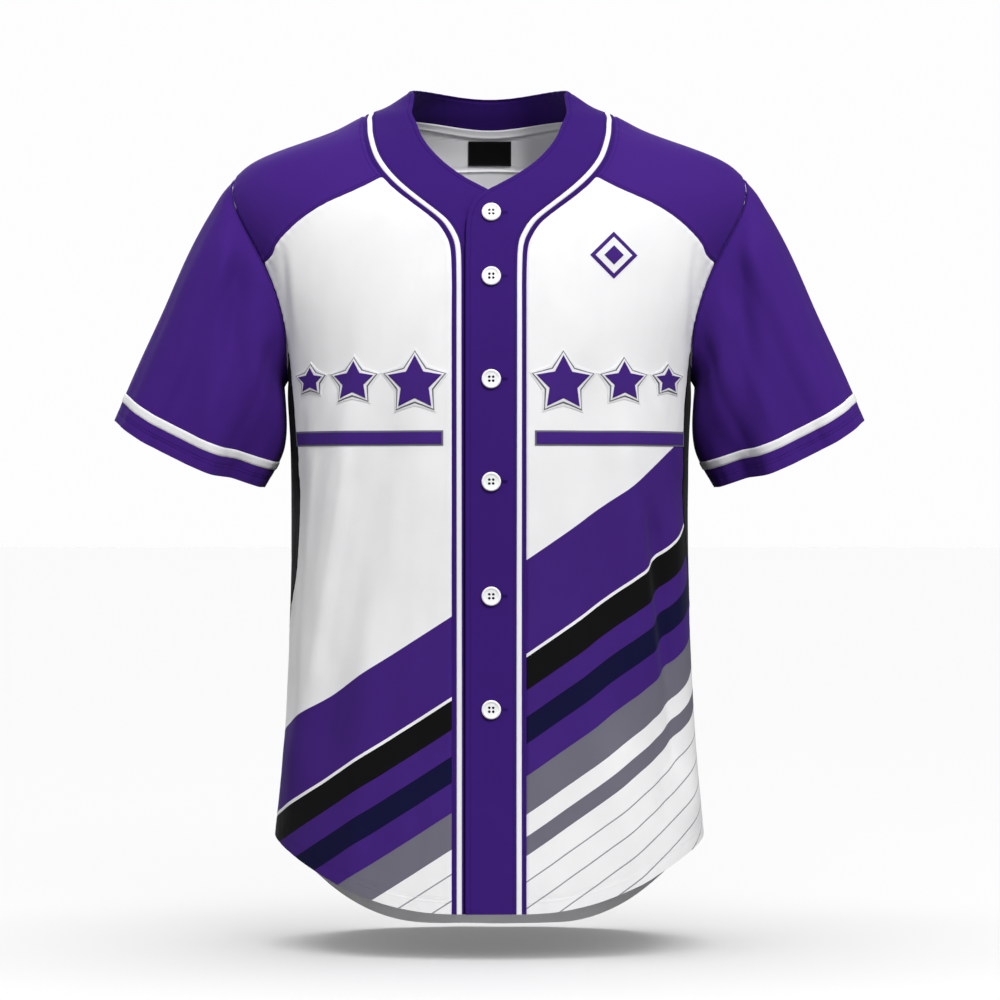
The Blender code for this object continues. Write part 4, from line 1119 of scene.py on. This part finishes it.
def sleeve_grid(angles, shares):
    """Points of the left sleeve for angles (columns) and shares (rows)."""
    rings = [armhole_points(angles)] + [sleeve_ring(r, angles) for r in SLEEVE_RINGS]
    stack = np.stack([np.asarray(r) for r in rings])
    flat = spline(SLEEVE_KNOTS, stack.reshape(len(SLEEVE_KNOTS), -1))
    out = flat(shares).reshape(len(shares), len(angles), 3)
    clear = clear_of_body(out.reshape(-1, 3)).reshape(out.shape)
    blend = smooth(shares, 0, 0.16)[:, None, None]
    out = out * (1 - blend) + clear * blend
    a, s = np.meshgrid(angles, shares)
    push = (sleeve_push(a, s, SLEEVE_FOLDS) + sleeve_push(a, s, FINE_SLEEVE_FOLDS))
    push *= smooth(s, 0.02, 0.2)
    normals = grid_normals(out)
    around = np.radians(a) * 62
    ease = smooth(s, 0.02, 0.15)
    push += 0.25 * unevenness(around, s * 260, 30, 8) * ease * wrap_fade(a)
    return out + normals * push[..., None]


def sleeve_push(a, s, folds):
    """The sum of a sleeve's folds at angles a and shares s."""
    total = np.zeros_like(a)
    for f in folds:
        t = np.clip((s - f.share0) / (f.share1 - f.share0), 0, 1)
        line = f.angle0 + (f.angle1 - f.angle0) * t
        off = ((a - line + 180) % 360 - 180) / f.width
        past = np.maximum(0, f.share0 - s) / 0.12
        total += f.height * np.exp(-(off**2) - past**2)
    return total


def wrap_fade(angle):
    """0 on top of the arm, where the round closes, and 1 elsewhere."""
    return smooth(np.minimum(angle % 360, 360 - angle % 360), 2, 25)


def grid_normals(points):
    """Outward unit normals of a grid that closes round its columns."""
    around = np.roll(points, -1, axis=1) - np.roll(points, 1, axis=1)
    down = np.gradient(points, axis=0)
    n = np.cross(down, around)
    n /= np.linalg.norm(n, axis=2, keepdims=True)
    middle = points.mean(axis=1, keepdims=True)
    return n * np.sign(((points - middle) * n).sum())


def make_sleeve(side, word):
    angles = np.linspace(0, 360, 220, endpoint=False)
    shares = fine_steps(SLEEVE_ROWS, 6) / SLEEVE_ROWS
    at_cuff = 1 - np.array([0.3, 0.38, 0.5, 0.62, 0.7]) / SLEEVE_ROWS
    shares = np.array(sorted({*shares, *at_cuff}))
    points = sleeve_grid(angles, shares)
    normals = grid_normals(points)
    k = smooth(np.minimum(angles, 360 - angles), 60, 100)[:, None]
    normals[0] = seam_normals(angles) * (1 - k) + normals[1] * k
    normals[0] /= np.linalg.norm(normals[0], axis=1)[:, None]
    up = runs(points, 0)
    from_cuff = up[-1:] - up
    along_ring = runs(points, 1)
    push = seam_profile(up) + puckers(up, along_ring, 51)
    for d in (CUFF_DEPTH, CUFF_DEPTH - 3):
        push += stitched_profile(from_cuff, d)
    ripple = wrap_fade(np.broadcast_to(angles, push.shape))
    push += 1.3 * puckers(np.abs(from_cuff - CUFF_DEPTH + 1.5), along_ring, 52) * ripple
    points = points + normals * push[..., None]
    onward = points[:1] - points[1:2]
    onward /= np.linalg.norm(onward, axis=2, keepdims=True)
    allowance = points[:1] + onward * SEAM_ALLOWANCE - normals[:1] * SEAM_TUCK
    points = np.concatenate([allowance, points])
    normals = np.concatenate([normals[:1], normals])
    mirror = np.array([side, 1, 1])
    thick = hem_thickness(np.concatenate([from_cuff[:1], from_cuff]), CUFF_DEPTH)
    obj = shell(
        f"sleeve_{word}_cloth", points * mirror, normals * mirror, purple, white_inside_painted_light,
        thick, closed=True,
    )
    placed(obj, "purple_cloth", f"sleeve_{word}")
    ring_points = np.concatenate([points, points[:, :1]], axis=1)
    ring_normals = np.concatenate([normals, normals[:, :1]], axis=1)
    sewn_at = ((CUFF_DEPTH, "t"), (CUFF_DEPTH - 3, "t"), (SEAM_ALLOWANCE + 3.0, "b"))
    lines = [along_line(ring_points * mirror, ring_normals * mirror, d, e) for d, e in sewn_at]
    sewn = stitches(f"sleeve_stitches_{word}", purple_thread, "purple_cloth", lines)
    stripe = make_stripe(ring_points, ring_normals, mirror, word)
    return obj, points * mirror, [sewn, stripe]


def braid_profile(t):
    """Height of a flat woven braid across its width, t from -1 to 1."""
    return (1 - np.abs(t) ** 4) ** 0.5


BRAID_ACROSS = np.linspace(-1, 1, 9)


def braid_rows(points, normals, inset, width, edge, lift, height):
    """Lines across a flat braid on a grid, inset from one of its edges, with their normals."""
    rows, ways = [], []
    for t in BRAID_ACROSS:
        line, way = along_line(points, normals, inset + width / 2 * (1 - t), edge)
        rows.append(line + way * (lift + height * braid_profile(t)))
        ways.append(way)
    return rows, ways


def make_stripe(points, normals, mirror, word):
    at = (STRIPE_FROM_CUFF, STRIPE_WIDTH, "t", 0.12, 0.75)
    rows, ways = braid_rows(points, normals, *at)
    grid, way = np.stack(rows)[:, :-1], np.stack(ways)[:, :-1]
    thick = (0.06 + 0.75 * braid_profile(BRAID_ACROSS))[:, None]
    obj = shell(
        f"sleeve_stripe_{word}_braid", grid * mirror, way * mirror, white_braid, white_braid,
        thick, closed=True,
    )
    return placed(obj, "white_cloth", f"sleeve_stripe_{word}")


# Where the front band's fine columns lie among the five of the solid
BAND_COLUMNS = np.array([
    0, 0.03, 0.08, 0.16, 0.24, 0.29, 0.34, 0.5, 0.75, 1.0, 1.2, 1.4, 1.6, 1.72, 1.8, 1.9, 2.0,
    2.25, 2.5, 2.75, 3.0, 3.25, 3.5, 3.75, 3.9, 4.0,
])


def fine_band(side):
    """The band's fine grid: columns from its free edge to its sewn edge."""
    steps = fine_steps(len(KNOTS) - 1, 6, "start")
    knots = knots_at(steps)
    free = band_edge_places(knots, free_edge_at, PLACKET_FREE_X)
    sewn = band_edge_places(knots, sewn_edge_at, PLACKET_SEWN_X)
    ends = on_form(body, np.stack([free, sewn], axis=1))[0]
    width = np.linalg.norm(ends[:, 1] - ends[:, 0], axis=1)
    outer = 1 - PIPING_INSET / width
    cad = [np.zeros_like(width), outer * 0.42, outer - PIPING_WIDTH / width, outer]
    cad = np.stack([*cad, np.ones_like(width)], axis=1)
    shares = np.stack([np.interp(BAND_COLUMNS, np.arange(5), row) for row in cad])[..., None]
    grid = free[:, None] * (1 - shares) + sewn[:, None] * shares
    points, normals = on_form(body, sided(grid, side))
    full = np.interp(BAND_COLUMNS, np.arange(5), [1, 1, 1, 0.55, 0])[None, :]
    below = 1 - smooth(points[..., 2], -66, -45)
    return points + normals * (side * BAND_LIFT * full * below)[..., None], normals


def joined(left, right):
    """Two halves joined at the centre back: the left one and the right one turned round."""
    return tuple(np.concatenate([a, b[-2::-1]]) for a, b in zip(left, right))


def make_band():
    points, normals = joined(fine_band(1), fine_band(-1))
    away = edge_distances(points)
    push = seam_profile(away["r"]) * 0.8
    push -= 0.55 * np.exp(-((away["l"] / 0.9) ** 2))
    push += stitched_profile(away["l"], BAND_STITCH, 0.3)
    push += 0.2 * np.exp(-(((away["l"] - BAND_STITCH / 2) / 1.6) ** 2))
    push += puckers(np.abs(away["l"] - BAND_STITCH), away["b"], 61) * 0.8
    push += 0.12 * unevenness(away["l"], away["b"], 26, 62)
    half = len(points) // 2
    first, last = slice(half), slice(half, None)
    left_on_top = points[0, 0, 0] < points[-1, 0, 0]
    top, under = (first, last) if left_on_top else (last, first)
    edge, below = points[top][:, 0], points[under]
    order = np.argsort(edge[:, 2])
    edge_x = np.interp(below[..., 2], edge[order, 2], edge[order, 0])
    groove = np.exp(-(((below[..., 0] - edge_x + 0.8) / 1.5) ** 2))
    push[under] -= PLACKET_GROOVE * groove * smooth(below[..., 2], -77, -86)
    rise = np.exp(-((away["l"] / 6.0) ** 2)) * smooth(points[..., 2], -77, -88)
    push[top] += BAND_EDGE_RISE * rise[top]
    flat = points + normals * push[..., None]
    obj = shell("front_band_cloth", flat, normals, band_purple_painted_shade, purple_inside, 1.1)
    placed(obj, "purple_cloth", "front_band")
    sewn_at = ((BAND_STITCH, "l"), (PIPING_INSET + PIPING_WIDTH + 2.6, "r"), (2.2, "r"))
    lines = [along_line(flat, normals, d, e) for d, e in sewn_at]
    sewn = stitches("band_stitches", purple_thread, "purple_cloth", lines, 2.6, (1.9, 0.6, 0.24))
    rows, ways = braid_rows(flat, normals, PIPING_INSET, PIPING_WIDTH, "r", 0.12, 0.85)
    thick = (0.06 + 0.85 * braid_profile(BRAID_ACROSS))[None, :]
    grid, way = np.stack(rows, 1), np.stack(ways, 1)
    piping = shell("piping_braid", grid, way, white_braid, white_braid, thick)
    placed(piping, "white_cloth", "piping")
    return obj, flat, normals, [sewn, piping]


def make_tape(points, normals):
    """The tape inside the back of the neck and the label below it."""
    half = len(points) // 2
    reach = (STEPS_NECK_BACK + TAPE_STEPS_PAST_SHOULDER - 1) * 6
    pick = slice(half - reach, half + reach + 1)
    rows, ways = braid_rows(points[pick], normals[pick], 0.2, TAPE_WIDTH, "r", -CLOTH - LAYER_GAP, 0)
    strip, way = np.stack(rows, 1), np.stack(ways, 1)
    thick = (0.1 + 0.6 * braid_profile(BRAID_ACROSS))[None, :]
    tape = shell("neck_tape_woven", strip, way, white_tape, white_tape, thick)
    placed(tape, "white_cloth", "neck_tape")
    lines = []
    for d in (1.3, TAPE_WIDTH - 1.3):
        line, way_at = along_line(strip, way, d, "r")
        lines.append((line - way_at * 0.62, -way_at))
    sewn = stitches("tape_stitches", white_thread, "white_cloth", lines)
    x = np.linspace(-LABEL_HALF_WIDTH, LABEL_HALF_WIDTH, 25)
    heights = np.linspace(LABEL_BOTTOM, LABEL_TOP, 13)
    rows = [np.stack([back_angle(x, z), np.full(len(x), z)], 1) for z in heights]
    places, out = on_form(body, np.stack(rows))
    places = places - out * (CLOTH + LAYER_GAP)
    label = shell("neck_label_woven", places, out, black, black, 0.6)
    placed(label, "black_cloth", "neck_label")
    ring = [along_line(places - out * 0.62, -out, 1.1, e) for e in "tblr"]
    label_sewn = stitches("label_stitches", black_thread, "black_cloth", ring)
    return [tape, sewn, label, label_sewn]


def turned(name, profile, steps, at=(0, 0)):
    """A closed solid turned round a line square to the button, from radii and heights."""
    turn = np.linspace(0, 2 * np.pi, steps, endpoint=False)
    rings = [
        np.stack([r * np.cos(turn), r * np.sin(turn), np.full(steps, z)], 1) for r, z in profile
    ]
    vertices = np.concatenate(rings) + (*at, 0)
    idx = np.arange(len(vertices)).reshape(len(profile), steps)
    nxt = np.roll(idx, -1, axis=1)
    faces = np.stack([idx[:-1], nxt[:-1], nxt[1:], idx[1:]], -1).reshape(-1, 4).tolist()
    mesh = bpy.data.meshes.new(name)
    ends = [idx[0][::-1].tolist(), idx[-1].tolist()]
    mesh.from_pydata((vertices * MM).tolist(), [], faces + ends)
    obj = bpy.data.objects.new(name, mesh)
    bpy.context.scene.collection.objects.link(obj)
    return obj


BUTTON_PROFILE = [
    (7.6, 0.0), (8.3, 0.25), (8.75, 0.75), (8.9, 1.35), (8.8, 1.95), (8.45, 2.45),
    (7.9, 2.75), (7.2, 2.7), (6.6, 2.4), (6.1, 2.1), (5.6, 1.98), (0.02, 2.0),
]
HOLE_PROFILE = [(1.2, -1), (1.2, 1.6), (1.32, 2.1), (1.32, 4)]
HOLES_AT = [(x, y) for x in (-1.8, 1.8) for y in (-1.8, 1.8)]


def make_buttons():
    blank = turned("button_blank", BUTTON_PROFILE, 48)
    cutters = [turned("hole_cutter", HOLE_PROFILE, 16, at) for at in HOLES_AT]
    for cutter in cutters:
        cutter.hide_render = True
        cut = blank.modifiers.new("hole", "BOOLEAN")
        cut.operation = "DIFFERENCE"
        cut.object = cutter
    bpy.context.view_layer.update()
    graph = bpy.context.evaluated_depsgraph_get()
    mesh = bpy.data.meshes.new_from_object(blank.evaluated_get(graph))
    mesh.name = "button_fine"
    mesh.materials.clear()
    mesh.materials.append(plastic)
    mesh.shade_smooth()
    mesh.set_sharp_from_angle(angle=math.radians(40))
    for obj in [blank, *cutters]:
        bpy.data.objects.remove(obj)
    made = []
    for number, height in enumerate(BUTTON_HEIGHTS, 1):
        angle = front_angle(BUTTON_X, height)
        normal = Vector(body_normals(angle, np.array([height], float))[0])
        place = Vector(body(angle, np.array([height], float))[0])
        place += normal * (BAND_LIFT + LAYER_GAP)
        button = bpy.data.objects.new(f"button_{number}_pearl", mesh)
        bpy.context.scene.collection.objects.link(button)
        button.location = place * MM
        button.rotation_mode = "QUATERNION"
        button.rotation_quaternion = normal.to_track_quat("Z", "Y")
        placed(button, "button_plastic", f"button_{number}")
        made.append(button)
    return made


def make_buttonholes():
    """Sewn buttonholes across the band, partly under the buttons."""
    x = np.linspace(BUTTON_X - 4, BUTTON_X + 15.5, 60)
    lines = []
    for height in BUTTON_HEIGHTS:
        for z in (height - 0.75, height + 0.75):
            angle, level = front_angle(x, z), np.full(len(x), z)
            way = body_normals(angle, level)
            lines.append((body(angle, level) + way * (BAND_LIFT + 0.02), way))
    return stitches(
        "buttonholes", purple_thread, "purple_cloth", lines, pitch=0.55, size=(0.5, 1.15, 0.3)
    )


def star_outline(turn, points, inner):
    """Radius of a star of unit size with straight sides, at angles from its top point."""
    step = 2 * np.pi / points
    t = np.abs((turn + step / 2) % step - step / 2)
    a = np.array([0.0, 1.0])
    b = inner * np.array([np.sin(step / 2), np.cos(step / 2)])
    d = np.stack([np.sin(t), np.cos(t)], -1)
    e = b - a
    return (a[0] * e[1] - a[1] * e[0]) / (d[..., 0] * e[1] - d[..., 1] * e[0])


def twill_patch(name, material, slot, x, z, level, closed):
    """A thin patch of twill on the front, in one of its layers, over a grid in front view."""
    angle = front_angle(x.ravel(), z.ravel()).reshape(x.shape)
    points, normals = on_form(cloth, np.stack([angle, z], -1))
    points = points + normals * (0.1 + 0.5 * level + TWILL)
    if closed:
        points[-1] -= normals[-1] * 0.12
    return placed(shell(name, points, normals, material, material, TWILL, closed), slot)


def round_patch(name, material, slot, middle, radius, shares, level):
    """A patch with an outline round its middle: each row is a share of the way out."""
    turn = np.linspace(0, 2 * np.pi, len(radius), endpoint=False)
    share = np.array(shares)[:, None]
    x = middle[0] + share * (radius * np.sin(turn))[None]
    z = middle[1] + share * (radius * np.cos(turn))[None]
    return twill_patch(name, material, slot, x, z, level, True)


def bar_patch(name, material, slot, side, inset, level):
    inner, outer, bottom, top = BAR
    x = np.linspace(side * (inner + inset[0]), side * (outer - inset[0]), 60)
    x, z = np.meshgrid(x, np.linspace(bottom + inset[1], top - inset[1], 5))
    return twill_patch(name, material, slot, x, z, level, False)


# Chest design: stars as x, height and size, a bar below them, and a small badge
TWILL = 0.45
STARS = [(68, -256, 26), (124, -254, 19), (165.5, -252, 12)]


STAR_SHARES = [0.002, *np.linspace(0.15, 0.9, 7), 0.97, 1.0]
STAR_LAYERS = (
    ("white", white_twill, 7.0), ("grey", grey_twill, 4.4),
    ("inner_white", white_twill, 3.0), ("purple", purple_twill, 0.0),
)
BAR = (42, 182, -313, -299)
BADGE_MIDDLE = (115, -137)
BADGE_SHARES = [0.002, 0.3, 0.6, 0.9, 1.0]
BADGE_LAYERS = (("purple", purple_twill, 22), ("white", white_twill, 17), ("core", purple_twill, 9))


def make_design(side, word):
    made = []
    turn = np.linspace(0, 2 * np.pi, 120, endpoint=False)
    for number, (x, z, size) in enumerate(STARS, 1):
        outline = star_outline(turn, 5, 0.52) * size
        for level, (layer, material, grow) in enumerate(STAR_LAYERS):
            name = f"star_{word}_{number}_{layer}"
            slot = "purple_cloth" if layer == "purple" else "white_cloth"
            radius = outline + grow * (0.6 + 0.4 * size / 26)
            at = (side * x, z)
            made.append(round_patch(name, material, slot, at, radius, STAR_SHARES, level))
    for level, (layer, material, slot, inset) in enumerate((
        ("grey", grey_twill, "white_cloth", (0, 0)),
        ("purple", purple_twill, "purple_cloth", (1.5, 1.6)),
    )):
        made.append(bar_patch(f"bar_{word}_{layer}", material, slot, side, inset, level))
    return made


def make_badge():
    made = []
    turn = np.linspace(0, 2 * np.pi, 96, endpoint=False)
    for level, (layer, material, size) in enumerate(BADGE_LAYERS):
        radius = size / (np.abs(np.sin(turn)) + np.abs(np.cos(turn)))
        slot = "white_cloth" if layer == "white" else "purple_cloth"
        made.append(round_patch(
            f"badge_{layer}", material, slot, BADGE_MIDDLE, radius, BADGE_SHARES, level
        ))
    return made


# All pieces, put together sheet by sheet
band, band_points, band_normals, band_extra = make_band()
tape_pieces = make_tape(band_points, band_normals)
yoke, yoke_points, yoke_extra = make_yoke()
buttons = make_buttons()
holes = make_buttonholes()
for word, side, material in (("left", 1, print_left), ("right", -1, print_right)):
    front, front_points, extra = make_front(side, word, material)
    extra += make_design(side, word)
    if side > 0:
        extra += make_badge()
    panel, panel_points, extra = make_side(side, word)
    arm, arm_points, extra = make_sleeve(side, word)
back, back_points, extra = make_back()

# Floor just below the hem, and the sky
HALF_FLOOR = 30.0
floor_mesh = bpy.data.meshes.new("floor")
floor_mesh.from_pydata(
    [(x * HALF_FLOOR, y * HALF_FLOOR, 0) for x, y in ((-1, -1), (1, -1), (1, 1), (-1, 1))],
    [], [(0, 1, 2, 3)],
)
floor = bpy.data.objects.new("floor", floor_mesh)
floor.location = (0, 0, -0.7835)
bpy.context.scene.collection.objects.link(floor)
pale, tree, shader, _ = new_material("floor_pale")
feed(tree, shader, {
    "Base Color": (0.8, 0.8, 0.8, 1), "Roughness": 1.0, "Specular IOR Level": 0.0,
    "Emission Color": (1, 1, 1, 1), "Emission Strength": 0.1,
})
floor.visible_diffuse = False
floor.visible_glossy = False
floor_mesh.materials.append(pale)

world = bpy.data.worlds.new("studio")
bpy.context.scene.world = world
world.use_nodes = True
tree = world.node_tree
split = node(tree, "SeparateXYZ", {"Vector": node(tree, "TexCoord", {}).outputs["Generated"]})
sky = node(tree, "MapRange", {
    "From Min": -0.5, "From Max": 0.9, "To Min": 0.12, "To Max": 0.60, "Value": split.outputs["Z"],
})
shining = tree.nodes["Background"]
feed(tree, shining, {"Strength": sky.outputs["Result"], "Color": (1, 1, 1, 1)})
plain = node(tree, "Background", {"Strength": 0.985, "Color": (1, 1, 1, 1)})
pick = node(tree, "MixShader", {
    "Fac": node(tree, "LightPath", {}).outputs["Is Camera Ray"],
    1: shining.outputs["Background"], 2: plain.outputs["Background"],
})
feed(tree, tree.nodes["World Output"], {"Surface": pick.outputs["Shader"]})


def lamp(name, kind, strength, direction, **settings):
    light = bpy.data.lights.new(name, kind)
    light.energy = strength
    for key, value in settings.items():
        setattr(light, key, value)
    made = bpy.data.objects.new(name, light)
    made.rotation_mode = "QUATERNION"
    made.rotation_quaternion = Vector(direction).to_track_quat("-Z", "Y")
    bpy.context.scene.collection.objects.link(made)
    return made


lit = bpy.data.collections.new("garment_lit")
for piece in bpy.context.scene.objects:
    if piece.type == "MESH" and piece is not floor:
        lit.objects.link(piece)
only_floor = bpy.data.collections.new("floor_lit")
only_floor.objects.link(floor)
for name, strength, direction, spread, on in (
    ("key", 2.45, (-0.32, 0.70, -0.70), 14, lit),
    ("left", 0.75, (0.88, 0.45, -0.2), 35, lit),
    ("right", 0.3, (-0.88, 0.45, -0.2), 35, lit),
    ("behind", 2.1, (0.25, -0.85, -0.5), 40, lit),
    ("overhead", 1.75, (0, 0, -1), 60, only_floor),
):
    made = lamp(name, "SUN", strength, direction, angle=math.radians(spread))
    made.light_linking.receiver_collection = on
softbox = lamp("softbox", "AREA", 5, (-0.35, 1.5, -0.95), size=1.0)
softbox.location = (0.35, -1.5, 0.75)

camera_data = bpy.data.cameras.new("camera")
camera = bpy.data.objects.new("camera", camera_data)
camera.location = (0.010, -3.6, -0.3629)
camera.rotation_euler = (math.radians(90), 0, 0)
camera_data.sensor_width = 36
camera_data.lens = 136.42
camera_data.clip_end = 200
bpy.context.scene.collection.objects.link(camera)
bpy.context.scene.camera = camera
bpy.context.scene.view_settings.view_transform = "Standard"

bpy.context.view_layer.update()
